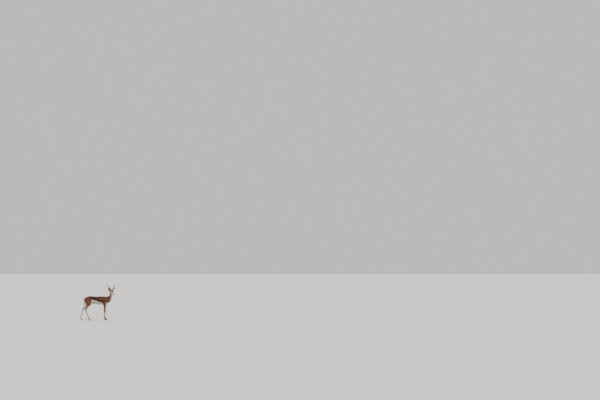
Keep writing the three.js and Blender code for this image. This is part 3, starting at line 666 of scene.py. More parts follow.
def paint(mesh, colours):
    """The colour of each vertex, as the attribute tint."""
    rgba = np.ones((len(colours), 4), np.float32)
    rgba[:, :3] = np.clip(colours, 0, 1)
    mesh.attributes.new("tint", "FLOAT_COLOR", "POINT").data.foreach_set("color", rgba.ravel())


def loft(rings, ends="fan"):
    """A closed skin over rings of equal length, as points and triangles."""
    rings = np.asarray(rings, float)
    rows, sides = rings.shape[:2]
    points = list(rings.reshape(-1, 3))
    j = np.arange(sides)
    after = (j + 1) % sides
    faces = []
    for i in range(rows - 1):
        a, b = i * sides + j, i * sides + after
        c, d = a + sides, b + sides
        faces += [np.stack([a, b, d], 1), np.stack([a, d, c], 1)]
    for first in (True, False):
        start = 0 if first else (rows - 1) * sides
        if ends == "fan":
            tip = len(points)
            points.append(rings[0 if first else -1].mean(0))
            cap = np.stack([np.full(sides, tip), start + after, start + j], 1)
        else:
            k = np.arange(sides // 2 - 1)
            far = start + sides - 1 - k
            near = start + k
            cap = np.vstack([np.stack([near + 1, near, far], 1), np.stack([near + 1, far, far - 1], 1)])
        faces.append(cap if first else cap[:, ::-1])
    points, faces = np.array(points), np.vstack(faces)
    a, b, c = (points[faces[:, n]] for n in range(3))
    inside_out = np.einsum("ij,ij->i", a, np.cross(b, c)).sum() <= 0
    return points, faces[:, ::-1] if inside_out else faces


def frames_along(line, up):
    """Tangent, across and deep directions along a line."""
    along = unit(np.gradient(line, axis=0))
    across = unit(np.cross(up, along))
    return along, across, np.cross(along, across)


# Skin

BODY_CELL = 3.6
HEAD_CELL = 1.25
WELD = 0.12 * MM
SLIVER = 0.05 * MM
HOOF_TOP = np.array([-0.34, 0, 1])
HEAD_SEAM = np.array([446, -1, 905])
HEAD_SEAM_UP = unit(np.array([0.35, -0.5, 0.79]))


def from_neck(points):
    """How far points lie forward and to the left of the neck's middle at their height."""
    line = np.array([m[0] for m in NECK] + [NECK[-1][1]])
    return points[:, :2] - np.stack([np.interp(points[:, 2], line[:, 2], line[:, n]) for n in (0, 1)], axis=1)


def tuck(points, sign):
    """Draws a skin in past the seam at the throat, so that the other one covers it there."""
    above = (points - HEAD_SEAM) @ HEAD_SEAM_UP * sign
    depth = 1.2 * rise(above, 0, 14) + 2.5 * rise(above, 14, 44)
    away = from_neck(points)
    reach = np.maximum(np.linalg.norm(away, axis=1), 20)
    near = 1 - rise(reach, 60, 80)
    points[:, :2] -= away * (depth * near / reach)[:, None]
    return points


def body_skin():
    clay = Clay([-560, -170, 16], [560, 170, 1000], BODY_CELL)
    add_body(clay)
    clay.melt(TAIL, 10)
    for _, side, leg in LEGS:
        top = np.array(on_side(side, leg["coronet"], dz=-3.0))
        clay.cut(top, HOOF_TOP, np.array([45, 40, 40]))
    points, quads = clay.surface()
    points = relax(points, quads, 3)
    return tuck(points, 1), quads


def head_skin():
    clay = Clay([-112, -74, -112], [NOSE_X + 18, 74, 92], HEAD_CELL)
    add_body(clay, HEAD_TURN, HEAD_CENTRE)
    add_head(clay)
    points, quads = clay.surface()
    points = head_to_body(relax(points, quads, 2))
    return tuck(points, -1), quads


EAR_STEPS = 40
EAR_ARC = 18
EAR_THICK = (4.2, 1.6)


def ear_shell(s):
    """A leaf-shaped cup, as rings of outer and inner points in the head's frame."""
    root = EAR_ROOT * [1, s, 1]
    axis, face, across = ear_axes(s)
    rings = []
    for t in np.linspace(0, 1, EAR_STEPS):
        leaf = math.sin(math.pi * (0.1 + 0.9 * t) ** 0.82) ** 0.75 if t < 1 else 0
        half = (EAR_WIDTH / 2 - 1) * max(leaf, 0.06)
        opening = lerp(lerp(3.05, 2.3, rise(t, 0.0, 0.16)), 0.9, smooth(t / 0.5))
        radius = half / math.sin(min(opening, math.pi / 2))
        middle = root + axis * EAR_LENGTH * t
        middle = middle + face * (-9 * math.sin(math.pi * t) - radius * math.cos(min(opening, math.pi / 2)))
        a = np.linspace(-opening, opening, EAR_ARC)[:, None]
        edge = np.abs(np.linspace(-1, 1, EAR_ARC))[:, None] ** 2

        def rim(a, r):
            return middle + across * r * np.sin(a) + face * (radius - r * np.cos(a))

        inner = np.maximum(radius - lerp(*EAR_THICK, t) * (1 - 0.5 * edge), radius * 0.4)
        rings.append(np.vstack([rim(a, radius), rim(a * 0.97, inner)[::-1]]))
    return np.array(rings)


def united(*pieces):
    """One piece out of several closed ones."""
    whole = pieces[0]
    for other in pieces[1:]:
        join = whole.modifiers.new("join", "BOOLEAN")
        join.operation = "UNION"
        join.solver = "MANIFOLD"
        join.object = other
        graph = bpy.context.evaluated_depsgraph_get()
        mesh = bpy.data.meshes.new_from_object(whole.evaluated_get(graph))
        whole.modifiers.clear()
        whole.data = mesh
        bpy.data.objects.remove(other)
    return whole


skin = new_object("skin", *body_skin())
head = new_object("head_skin", *head_skin())
ears = []
for s in SIDES.values():
    points, faces = loft(ear_shell(s), "strip")
    ears.append(new_object("ear", head_to_body(points), faces))
skin = united(skin, head, *ears)
clean = bmesh.new()
clean.from_mesh(skin.data)
bmesh.ops.remove_doubles(clean, verts=clean.verts, dist=WELD)
bmesh.ops.dissolve_degenerate(clean, edges=clean.edges, dist=SLIVER)
clean.to_mesh(skin.data)
clean.free()
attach(skin, "root")
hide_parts("torso", "neck", "head", "ear_right", "ear_left", "tail")
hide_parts(*LEG_MASSES)

# Horns, ringed over most of their length

HORN_RINGS = 13
RINGED = 0.72


def horn_radius(t):
    taper = lerp(19.5, 8.6, np.clip(t / 0.8, 0, 1))
    return np.where(t > 0.8, taper * lerp(1, 0.22, np.clip((t - 0.8) / 0.2, 0, 1) ** 1.3), taper)


def horn(s, steps=300, sides=36):
    line = horn_line(s, steps)
    along, across, deep = frames_along(line, HEAD_BACK)
    line[0] -= along[0] * 4
    t = np.linspace(0, 1, steps)
    phase = (t / RINGED * HORN_RINGS - 1 / 3 + 0.5) % 1 - 0.5
    strength = 0.15 * rise(t, 0.01, 0.06) * fall(t, 0.62, 0.76)
    ridge = np.exp(-((phase / 0.2) ** 2)) - 0.25 * np.exp(-(((np.abs(phase) - 0.36) / 0.12) ** 2))
    a = circle(sides)
    front = 0.72 + 0.28 * np.cos(a + np.pi / 2)
    radius = horn_radius(t)[:, None] * (1 + (strength * ridge)[:, None] * front)
    radius = radius * (1 + 0.012 * np.sin(9 * a + 5 * np.sin(3 * a))[None] * (1 - t[:, None]))
    rings = line[:, None] + (radius * 0.94 * np.cos(a))[..., None] * across[:, None]
    worn = lerp(0.75, 1.5, rise(strength * ridge, -0.02, 0.11))
    colour = HORN * worn[:, None] * lerp(1, 0.62, rise(t, 0.6, 0.95))[:, None]
    colour = np.repeat(colour, sides, axis=0)
    return (*loft(rings + (radius * 1.06 * np.sin(a))[..., None] * deep[:, None]), colour)


for side, s in SIDES.items():
    points, faces, colour = horn(s)
    piece = new_object(f"ringed_horn_{side}", head_to_body(points), faces, "horn")
    paint(piece.data, np.vstack([colour, colour[[0, -1]]]))
    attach(piece, "root")
    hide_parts(f"horn_{side}")

# Eyes


def eyeball(s, rows=40, sides=64):
    out, along, over = eye_axes(s)
    polar = np.linspace(0, np.pi, rows)[1:-1]
    a = circle(sides)
    radius = EYE_RADIUS + 1.3 * np.exp(-((polar / 0.62) ** 4))
    ring = np.cos(a)[:, None] * along + np.sin(a)[:, None] * over
    rings = radius[:, None, None] * (
        np.sin(polar)[:, None, None] * ring[None] + np.cos(polar)[:, None, None] * out
    )
    # a long pupil that stays level, a brown iris and a dark rim round it
    level = unit(np.cross(out, HEAD_LEVEL))
    wide = (ring @ level)[None] * np.sin(polar)[:, None]
    high = np.sqrt(np.clip(np.sin(polar)[:, None] ** 2 - wide**2, 0, 1))
    pupil = 1 - rise(np.hypot(wide / 0.44, high / 0.22), 0.9, 1.05)
    rim = rise(np.broadcast_to(polar[:, None], pupil.shape), 0.72, 0.86)
    colour = lerp(IRIS, PUPIL, np.maximum(pupil, 0.8 * rim)[..., None])
    white = rise(np.broadcast_to(polar[:, None], pupil.shape), 1.0, 1.15)
    colour = lerp(colour, EYE_WHITE, white[..., None])
    return (*loft(rings + ORBIT * [1, s, 1]), colour.reshape(-1, 3))


for side, s in SIDES.items():
    points, faces, colour = eyeball(s)
    piece = new_object(f"eyeball_{side}", head_to_body(points), faces, "eye")
    paint(piece.data, np.vstack([colour, colour[[0, -1]]]))
    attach(piece, "root")
    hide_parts(f"eye_{side}")

# Hooves: two claws with a cleft between them

CLAW = {"long": 54, "wide": 17.6, "tall": 46, "cleft": 2}


def claw(x0, y0, inner, levels=26, sides=40):
    """One claw: a pointed toe, a rounded heel and a top edge that falls towards the heel."""
    rings = []
    for t in np.linspace(0, 1, levels):
        low = min(t / 0.12, 1)
        long = lerp(CLAW["long"], 27, t) * lerp(0.97, 1, low)
        front = lerp(35, 12, t)
        half = CLAW["wide"] / 2 * lerp(0.9, 1, low) * (1 - 0.28 * rise(t, 0.45, 1))
        a = 2 * np.pi * (np.arange(sides) + 0.5) / sides
        x = front - long / 2 + long / 2 * np.sign(np.cos(a)) * np.abs(np.cos(a)) ** 0.9
        ahead = np.clip(np.cos(a), 0, 1)
        y = half * np.sign(np.sin(a)) * np.abs(np.sin(a)) ** 0.85 * (1 - 0.5 * ahead * (1 - t * 0.7))
        y = y - inner * 2.4 * np.clip((x - 6) / 28, 0, None) ** 2 + inner * 2.2 * rise(t, 0.45, 1)
        heel = rise(-x, 4, 20)
        x = x - 2.5 * heel * math.sin(math.pi * min(t * 1.3, 1))
        top = CLAW["tall"] * 0.9 + 0.34 * np.clip(x, -18, 14) - 5 * heel
        grow = 1 + 0.008 * math.sin(t * 44) * (t > 0)
        rings.append(np.stack([x0 + x * grow, y0 + y * grow, top * t], axis=1))
    return loft(rings)


DEWCLAW_RADII = [5.0, 5.4, 5.4, 5.2, 4.8, 4.2, 3.5, 2.6, 1.2]

for kind, side, leg in LEGS:
    coronet = on_side(side, leg["coronet"])
    x0 = coronet[0] + 2
    apart = (CLAW["wide"] + CLAW["cleft"]) / 2
    claws = [
        new_object("claw", *claw(x0, coronet[1] + inner * -apart, inner), "hoof") for inner in (-1, 1)
    ]
    piece = united(*claws)
    piece.name = f"claws_{kind}_{side}"
    place = np.empty(len(piece.data.vertices) * 3, np.float32)
    piece.data.vertices.foreach_get("co", place)
    height = place.reshape(-1, 3)[:, 2] / MM
    shade = lerp(1.25, 0.85, rise(height, 2, 14)) * (1 + 0.12 * np.sin(height * 1.9))
    shade = shade * lerp(1, 1.3, rise(height, 30, 42))
    paint(piece.data, HOOF * shade[:, None])
    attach(piece, "root")
    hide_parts(f"hoof_{kind}_{side}")

# Dewclaws: two small nubs of horn behind each fetlock

nubs = []
for _, side, leg in LEGS:
    for across in (-8, 8):
        top = np.array(on_side(side, leg["fetlock"], -13, -9)) + [0, across, 0]
        line = curve([top, top + [-4, 0, -6], top + [-5, 0, -13]], 9)
        along, sideways, deep = frames_along(line, np.array([1.0, 0, 0]))
        a = circle(20)
        radius = np.array(DEWCLAW_RADII)[:, None, None]
        ring = np.cos(a)[None, :, None] * sideways[:, None]
        ring = ring + 0.7 * np.sin(a)[None, :, None] * deep[:, None]
        rings = line[:, None] + radius * ring
        nubs.append(new_object("nub", *loft(rings), "hoof"))
dewclaws = united(*nubs)
dewclaws.name = "claws_dew"
paint(dewclaws.data, np.tile(HOOF * 0.9, (len(dewclaws.data.vertices), 1)))
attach(dewclaws, "root")

# Markings


def wobble(points, scale, seed):
    """A smooth, seeded ripple of about -1 to 1 over the body."""
    rng = np.random.default_rng(seed)
    total = np.zeros(len(points))
    for _ in range(7):
        wave = rng.normal(size=3) / scale
        total += np.sin(points @ wave + rng.uniform(0, 2 * np.pi))
    return total / 3.2


def along_segment(points, a, b):
    """Distance from the line a to b, and how far along it."""
    a, b = np.array(a, float), np.array(b, float)
    t = np.clip(((points - a) @ (b - a)) / ((b - a) @ (b - a)), 0, 1)
    return np.linalg.norm(points - a - t[:, None] * (b - a), axis=1), t


PARTS = ["trunk", "neck", "head", "tail", *LEG_MASSES]


def nearness(points):
    """How much each of PARTS owns each point, as shares that add up to 1."""
    in_head = body_to_head(points)
    skull = field_at(in_head, SKULL)
    distances = [field_at(points, TRUNK), field_at(points, NECK), skull, field_at(points, TAIL)]
    distances += [field_at(points, masses) for masses in LEG_MASSES.values()]
    distances = np.stack(distances, axis=1)
    share = np.exp(-(distances - distances.min(1, keepdims=True)) / 7)
    return share / share.sum(1, keepdims=True)


# The dark flank band: its middle height and half its depth, at places along the body
BAND_X = [-178, -105, 0, 70, 175, 262]
BAND_Z = [742, 728, 696, 661, 628, 585]
BAND_HALF = [24, 33, 31, 27, 23, 17]


def painted_thigh_fold_shade(p, ripple):
    """Painted shade in the fold down the front of the thigh, in the band's dark colour."""
    gap, t = along_segment(p[:, [0, 2]], [-168, 735], [-176, 622])
    return fall(gap + ripple - lerp(23, 7, t), -3, 4) * rise(p[:, 2], 600, 650)


def trunk_colour(p, n):
    x, y, z = p.T
    ripple = 3.5 * wobble(p, 26, 1) + 1.6 * wobble(p, 8, 2)
    over = z + ripple - np.interp(x, BAND_X, BAND_Z)
    half = np.interp(x, BAND_X, BAND_HALF)
    colour = lerp(SIDE, BACK, rise(z, 690, 800)[:, None])
    haunch = rise(-x, 190, 290) * fall(z, 760, 815)
    colour = mix(colour, HAUNCH, 0.8 * haunch)
    # belly, brisket and the front of the chest
    belly = fall(over, -half - 5, -half + 3) * rise(x + ripple, -190, -160) * fall(x + ripple, 204, 222)
    brisket = fall(z + ripple, 584, 600) * rise(x + ripple, 296, 314)
    breast = rise(x + 0.6 * ripple, 452, 466)
    middle = rise(n[:, 0], 0.2, 0.45) * fall(np.abs(y) + ripple, 40, 48) * rise(x, 330, 360)
    breast = np.maximum(breast, middle)
    under = rise(-n[:, 2], 0.55, 0.8) * fall(z, 610, 680)
    pale = np.maximum.reduce([belly, brisket, breast, under])
    colour = mix(colour, PALE, pale)
    # the band, and painted shade in the fold down the front of the thigh
    band_and_fold_shade = fall(np.abs(over), half - 3, half + 5) * rise(x + ripple, -200, -172) * fall(x + ripple, 226, 252)
    band_and_fold_shade = np.maximum(band_and_fold_shade, painted_thigh_fold_shade(p, ripple))
    return mix(colour, BAND_AND_FOLD_SHADE, band_and_fold_shade)


# The white patch round the tail: half its width at heights above the ground
PATCH_Z = [520, 580, 640, 700, 745, 775, 792]
PATCH_HALF = [44, 40, 48, 50, 36, 17, 6]


def add_rump(colour, p, n):
    """The white rump patch with its dark edge, and the line of long pale hair along the back."""
    x, y, z = p.T
    ripple = 2.5 * wobble(p, 20, 9) + 1.2 * wobble(p, 7, 10)
    inside = np.interp(z, PATCH_Z, PATCH_HALF) - np.abs(y) + ripple
    behind = rise(-n[:, 0], 0.0, 0.25) * rise(-x, 338, 352) * rise(z, 515, 560) * fall(z, 788, 796)
    colour = mix(colour, STRIPE, 0.8 * rise(inside, -15, -8) * behind)
    colour = mix(colour, PALE, rise(inside, -2, 3) * behind)
    top = rise(n[:, 2], 0.1, 0.4) * (z > 740)
    crest = fall(np.abs(y), 9, 14) * rise(-x, 30, 80) * top
    colour = mix(colour, STRIPE, 0.6 * crest)
    line = np.interp(-x, [60, 200, 330, 400], [1.5, 5, 8, 12])
    crest = fall(np.abs(y) + 0.4 * ripple, line, line + 3) * rise(-x, 60, 120) * top
    return mix(colour, PALE, crest)


def neck_colour(p):
    """Brown behind, and a pale throat that turns with the head."""
    x, _, z = p.T
    ripple = 0.09 * wobble(p, 22, 3) + 0.04 * wobble(p, 7, 8)
    side_x, side_y = from_neck(p).T
    turned = -HEAD_YAW * rise(z, 740, 950)
    ahead = (side_x * np.cos(turned) + side_y * np.sin(turned)) / np.hypot(side_x, side_y)
    colour = lerp(SIDE, CROWN, 0.5 * rise(z, 820, 960)[:, None])
    colour = mix(colour, colour * 0.8, 0.7 * rise(-ahead, 0.3, 0.9))
    throat = rise(ahead + ripple, 0.44, 0.56) * rise(z, 745, 800)
    breast = rise(x + 30 * ripple, 452, 466) * fall(z, 770, 815)
    return mix(colour, PALE, np.maximum(throat, breast))


def leg_colour(p, n, name):
    z = p[:, 2]
    outward = n[:, 1] * (1 if name.endswith("left") else -1)
    ripple = 0.12 * wobble(p, 18, 4)
    colour = np.tile(LEG, (len(p), 1))
    if name.startswith("fore"):
        colour = mix(colour, BACK, 0.6 * rise(n[:, 0], 0.5, 0.9) * rise(-z, -300, -240))
        inner = fall(outward + ripple + 0.25 * n[:, 0], -0.45, -0.15) * rise(z, 70, 190)
    else:
        colour = mix(colour, HAUNCH, rise(z, 500, 580))
        inner = fall(outward + ripple + 0.2 * n[:, 0], -0.4, -0.1) * lerp(0.25, 1, rise(z, 330, 430))
        # painted shade in the fold down the front of the thigh, on the leg's outer side
        colour = mix(colour, BAND_AND_FOLD_SHADE, painted_thigh_fold_shade(p, 8 * ripple) * rise(outward, -0.2, 0.2))
    inner = inner * fall(z, 690, 730)
    colour = mix(colour, PALE, inner)
    return lerp(colour, colour * 0.6, fall(z, 44, 74)[:, None])


def head_colour(p, n, in_head):
    hx, hy, hz = in_head.T
    ay = np.abs(hy)
    ripple = 2.2 * wobble(p, 13, 5)
    up = (n @ HEAD_TURN)[:, 2]
    colour = np.tile(PALE, (len(p), 1))
    half = np.interp(hx, [-60, 0, 40, 70, 104, 130], [60, 46, 31, 20, 9, -3])
    crown = rise(half - ay + ripple, -2, 4) * rise(up, 0.1, 0.4) * rise(hz, 5, 18)
    nape = fall(hx + 0.5 * hz + ripple, -34, -18) * rise(hz + ripple, -44, -28)
    behind = -n @ np.array([math.cos(HEAD_YAW), -math.sin(HEAD_YAW), 0])
    nape = np.maximum(nape, rise(behind + 0.04 * ripple, 0.05, 0.35) * fall(hx + ripple, -28, -10))
    colour = mix(colour, CROWN, np.maximum(crown, nape))
    temple, _ = along_segment(in_head[:, [0, 2]], [34, 20], [-40, 4])
    colour = mix(colour, CROWN, 0.7 * fall(temple + ripple, 9, 19) * rise(ay, 18, 26))
    stripe, t = along_segment(in_head[:, [0, 2]], [62, 14], [130, -13])
    wide = lerp(10.5, 6.0, t)
    stripe = fall(stripe + 0.5 * ripple, wide - 2.5, wide + 2.5) * rise(ay, 8, 14)
    colour = mix(colour, STRIPE, stripe)
    nose = rise(hx + 0.3 * ripple, NOSE_X - 46, NOSE_X - 30) * rise(up, 0.3, 0.7)
    nose = nose * fall(hx, NOSE_X - 8, NOSE_X)
    return mix(colour, CROWN, 0.45 * nose)


def tail_colour(p):
    return lerp(PALE, TUFT, rise(-p[:, 2], -618, -585)[:, None])


def coat_colour(p, n, shares):
    """The markings: one colour for each point of the animal."""
    in_head = body_to_head(p)
    colours = [trunk_colour(p, n), neck_colour(p), head_colour(p, n, in_head), tail_colour(p)]
    colours += [leg_colour(p, n, name) for name in LEG_MASSES]
    # the upper leg wears the trunk's markings on its outer side
    sharp = shares**1.6
    sharp = sharp / sharp.sum(1, keepdims=True)
    colour = sum(c * sharp[:, [i]] for i, c in enumerate(colours))
    body = 1 - shares[:, [1]] - shares[:, [2]] - shares[:, [3]]
    colour = lerp(colour, add_rump(colour, p, n), body.clip(0, 1))
    return colour * (1 + 0.07 * wobble(p, 40, 6) + 0.05 * wobble(p, 12, 7))[:, None]


def bareness(in_head, shares):
    """How bare and dark the skin is on the rims of the eyes, lips and nostrils, and where no tuft grows."""
    bare = np.zeros(len(in_head))
    bald = np.zeros(len(in_head), bool)
    own = np.flatnonzero((shares[:, 2] > 0.5) & (in_head[:, 0] > 20))
    p = in_head[own]
    lips = field_at(p, chain(MOUTH, [0] * len(MOUTH), 0.1))
    rims = np.full(len(p), float(FAR))
    nostrils = np.full(len(p), float(FAR))
    for s in (-1, 1):
        line = nostril_line(s)
        rims = np.minimum(rims, field_at(p, lid_slit(s)))
        nostrils = np.minimum(nostrils, field_at(p, chain(line, [0] * len(line), 0.1)))
    bridge = mass([NOSE_X - 1, -8, 1.5], [NOSE_X - 1, 8, 1.5], [4.6, 4.6], 1, 3)
    pad = field_at(p, [bridge, mass([NOSE_X, 0, 0], [NOSE_X, 0, -11], [4.4, 2], 1, 3)])
    bare[own] = np.maximum.reduce(
        [fall(rims, 1.6, 3.0), fall(nostrils, 2.9, 3.9), fall(lips, 1.1, 2.0), fall(pad, -0.4, 0.6)]
    )
    bald[own] = (rims < 2.3) | (nostrils < 3.7) | (lips < 2.6) | (pad < 0.4)
    return bare, bald


# Lie of the coat


def coat_lie(p, n, shares):
    """The way the hair runs, along the skin."""
    x, y, z = p.T
    side = np.sign(y)
    zero = np.zeros(len(p))
    one = np.ones(len(p))
    trunk = np.stack([-one, 0.12 * side * rise(z, 760, 800), -0.16 - 0.5 * rise(x, 330, 430)], axis=1)
    trunk[:, 2] -= 0.9 * rise(-x, 300, 390)
    low = rise(z, 760, 850)
    neck = np.stack([lerp(-0.8, -0.15, low), zero, lerp(-0.7, -1, low)], axis=1)
    in_head = body_to_head(p)
    from_lips = unit(in_head - [NOSE_X + 6, 0, -13])
    head = lerp(np.array([-1, 0, -0.12]), from_lips, rise(in_head[:, 0], NOSE_X - 30, NOSE_X - 8)[:, None])
    head = head @ HEAD_TURN.T
    tail = np.stack([lerp(-0.5, 0.02, rise(-z, -745, -725)), zero, -one], axis=1)
    lies = [trunk, neck, head, tail]
    for name in LEG_MASSES:
        kind, side_name = name.split("_")
        leg = (FORE if kind == "foreleg" else HIND)[side_name]
        upper = ("elbow", "knee") if kind == "foreleg" else ("stifle", "hock")
        joints = [leg[joint] for joint in (*upper, "fetlock", "coronet")]
        heights = [j[2] for j in joints]
        steps = [(a[0] - b[0]) / max(a[2] - b[2], 1) for a, b in zip(joints[:-1], joints[1:])]
        bends = [-heights[0], -heights[1] - 25, -heights[1] + 25, -heights[2], -heights[3]]
        lean = np.interp(-z, bends, [steps[0], steps[0], steps[1], steps[1], steps[2]])
        lies.append(np.stack([-lean, zero, -one], axis=1))
    lie = sum(unit(l) * shares[:, [i]] for i, l in enumerate(lies))
    lie = lie + 0.10 * np.stack([wobble(p, 45, 11), wobble(p, 45, 12), wobble(p, 45, 13)], axis=1)
    lie = lie - n * (lie * n).sum(1, keepdims=True)
    return unit(lie)


# Tufts: thin tapered spikes with a ridge, sunk into the skin and laid along it

SOFT = 0.8  # how far a tuft is shaded as the skin under it
UV_PATCH = 0.003  # the size of a tuft on the unwrap
ROOT_DEPTH = 0.8
LASHES = 44
TAIL_LOCKS = 260


def tufts(name, root, normal, lie, length, width, lift, colour, chart, rings, rng):
    """One piece of coat. rings is how many rings each tuft has below its tip."""
    count = len(root)
    across = np.cross(lie, normal)
    across = unit(across + 0.25 * rng.normal(size=(count, 1)) * normal)
    ridge = np.cross(across, lie)
    ridge = ridge * np.sign((ridge * normal).sum(1, keepdims=True))
    twist = rng.normal(0, 0.13, (count, 1))
    lie = unit(lie + twist * across)
    jitter = unit(normal + 0.16 * rng.normal(size=(count, 3)))
    steps = np.arange(rings + 1) / rings
    points, normals, shades, corners = [], [], [], []
    for s in steps:
        up = lift * length * (1.7 * s - s * s) - ROOT_DEPTH * (s == 0)
        middle = root + lie * (length * s)[:, None] + normal * up[:, None]
        half = width * (0.8 if s == 0 else 1.0) * 0.5
        # painted shade: each tuft is darker at its root, where the hairs shade each other, and lighter
        # towards its tip
        shade = colour * (0.84 + 0.3 * s)
        if s == 1:
            points.append(middle[:, None])
            normals.append(unit(jitter * SOFT + 0.3 * ridge)[:, None])
            shades.append(shade[:, None])
            corners.append([(0.0, s)])
            continue
        for sideways, high in ((-1, 0), (1, 0), (0, 0.5)):
            spot = middle + across * (half * sideways)[:, None] + ridge * (width * high)[:, None]
            points.append(spot[:, None])
            own = across * sideways * 0.8 + ridge * 0.6 if sideways else ridge
            normals.append(unit(jitter * SOFT + own * (1 - SOFT))[:, None])
            shades.append(shade[:, None])
            corners.append([(sideways, s)])
    points = np.concatenate(points, axis=1)
    per = points.shape[1]
    faces = [(0, 1, 2)]
    for r in range(rings - 1):
        for a, b in ((0, 2), (2, 1), (1, 0)):
            a, b = a + 3 * r, b + 3 * r
            faces += [(a, b, b + 3), (a, b + 3, a + 3)]
    last = 3 * (rings - 1)
    faces += [(last, last + 2, per - 1), (last + 2, last + 1, per - 1), (last + 1, last, per - 1)]
    faces = np.array(faces)[None] + (np.arange(count) * per)[:, None, None]
    faces = faces.reshape(-1, 3)
    piece = new_object(name, points.reshape(-1, 3), faces)
    mesh = piece.data
    paint(mesh, np.concatenate(shades, axis=1).reshape(-1, 3))
    offset = np.array([c[0] for c in corners]) * [UV_PATCH / 2, UV_PATCH]
    uv = (chart[:, None] * (1 - 2 * UV_PATCH) + UV_PATCH + offset[None]).reshape(-1, 2)
    layer = mesh.uv_layers.new(name="OFBake")
    layer.data.foreach_set("uv", uv[faces.ravel()].astype(np.float32).ravel())
    mesh.normals_split_custom_set_from_vertices(np.concatenate(normals, axis=1).reshape(-1, 3))
    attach(piece, "root")
    return piece


def cylinder_chart(points, part):
    """Where points lie on an unwrap of their part: round it, and along it."""
    if part == "head":
        local = body_to_head(points)
        angle = np.arctan2(local[:, 1], local[:, 2])
        along = (local[:, 0] + 80) / (NOSE_X + 100)
    elif part == "trunk":
        angle = np.arctan2(points[:, 1], points[:, 2] - 660)
        along = (points[:, 0] + 430) / 930
    else:
        low, high = points.min(0), points.max(0)
        centre = {"neck": (478, -14), "tail": (-410, 0)}.get(part, (low[:2] + high[:2]) / 2)
        angle = np.arctan2(points[:, 1] - centre[1], points[:, 0] - centre[0])
        along = (points[:, 2] - low[2]) / (high[2] - low[2] + 1)
    return np.clip(np.stack([angle / (2 * np.pi) + 0.5, along], axis=1), 0, 1)


def skin_arrays():
    mesh = skin.data
    co = np.empty(len(mesh.vertices) * 3, np.float32)
    mesh.vertices.foreach_get("co", co)
    mesh.calc_loop_triangles()
    tris = np.empty(len(mesh.loop_triangles) * 3, np.int32)
    mesh.loop_triangles.foreach_get("vertices", tris)
    points = co.reshape(-1, 3).astype(float) / MM - SHIFT
    return points, tris.reshape(-1, 3)


def scatter(points, tris, per_tuft, rng):
    """Roots spread over the triangles, one for every per_tuft square mm of each."""
    a, b, c = (points[tris[:, n]] for n in range(3))
    area = np.linalg.norm(np.cross(b - a, c - a), axis=1) / 2
    total = np.cumsum(area / per_tuft)
    count = int(total[-1])
    face = np.searchsorted(total, np.arange(count) + rng.uniform(0.05, 0.95, count))
    face = np.minimum(face, len(tris) - 1)
    u, v = rng.random(count), rng.random(count)
    flip = u + v > 1
    u, v = np.where(flip, 1 - u, u), np.where(flip, 1 - v, v)
    weights = np.stack([1 - u - v, u, v], axis=1)
    return face, weights


COAT_SEED = 7
EAR_SEED = 21
COAT = {
    # part: length, width, lift, square mm for each tuft
    "trunk": (16.0, 2.0, 0.15, 4.1),
    "neck": (13.0, 1.8, 0.15, 3.1),
    "head": (6.0, 1.15, 0.17, 2.3),
    "tail": (11.0, 1.5, 0.16, 3.0),
    "leg": (9.0, 1.5, 0.12, 3.8),
}


def ear_colour_at(t, a, inside):
    """Brown behind with dark edges and tip, and pale within. a runs from -1 to 1 across the ear."""
    edge = rise(np.abs(a), 0.8, 0.98)
    tip = rise(t, 0.8, 0.98)
    behind = lerp(EAR, TUFT, np.clip(0.75 * edge + 0.9 * tip, 0, 1)[:, None])
    stripes = 0.5 + 0.5 * np.cos(a * 3 * np.pi)
    within = lerp(EAR_SKIN, PALE, (0.75 * stripes * fall(t, 0.55, 0.9))[:, None])
    within = lerp(within, TUFT, np.clip(0.6 * edge + 0.8 * tip, 0, 1)[:, None])
    return np.where(np.asarray(inside)[:, None], within, behind)


def ear_markings(in_head):
    """Which points lie on the ears, and their colour."""
    places = [ear_shell(s).reshape(-1, 3) for s in (-1, 1)]
    grid = KDTree(2 * len(places[0]))
    for n, place in enumerate(np.vstack(places)):
        grid.insert(place, n)
    grid.balance()
    maybe = np.flatnonzero((in_head[:, 0] < 40) & (np.abs(in_head[:, 1]) > 30) & (in_head[:, 2] > -30))
    maybe = maybe[field_at(in_head[maybe], FACE) > 1.0]
    found = [grid.find(in_head[n]) for n in maybe]
    close = np.array([f[2] < 4.0 for f in found])
    near = np.array([f[1] for f in found])[close] % len(places[0])
    t = (near // (2 * EAR_ARC)) / (EAR_STEPS - 1)
    column = near % (2 * EAR_ARC)
    inside = column >= EAR_ARC
    column = np.where(inside, 2 * EAR_ARC - 1 - column, column)
    return maybe[close], ear_colour_at(t, column / (EAR_ARC - 1) * 2 - 1, inside)


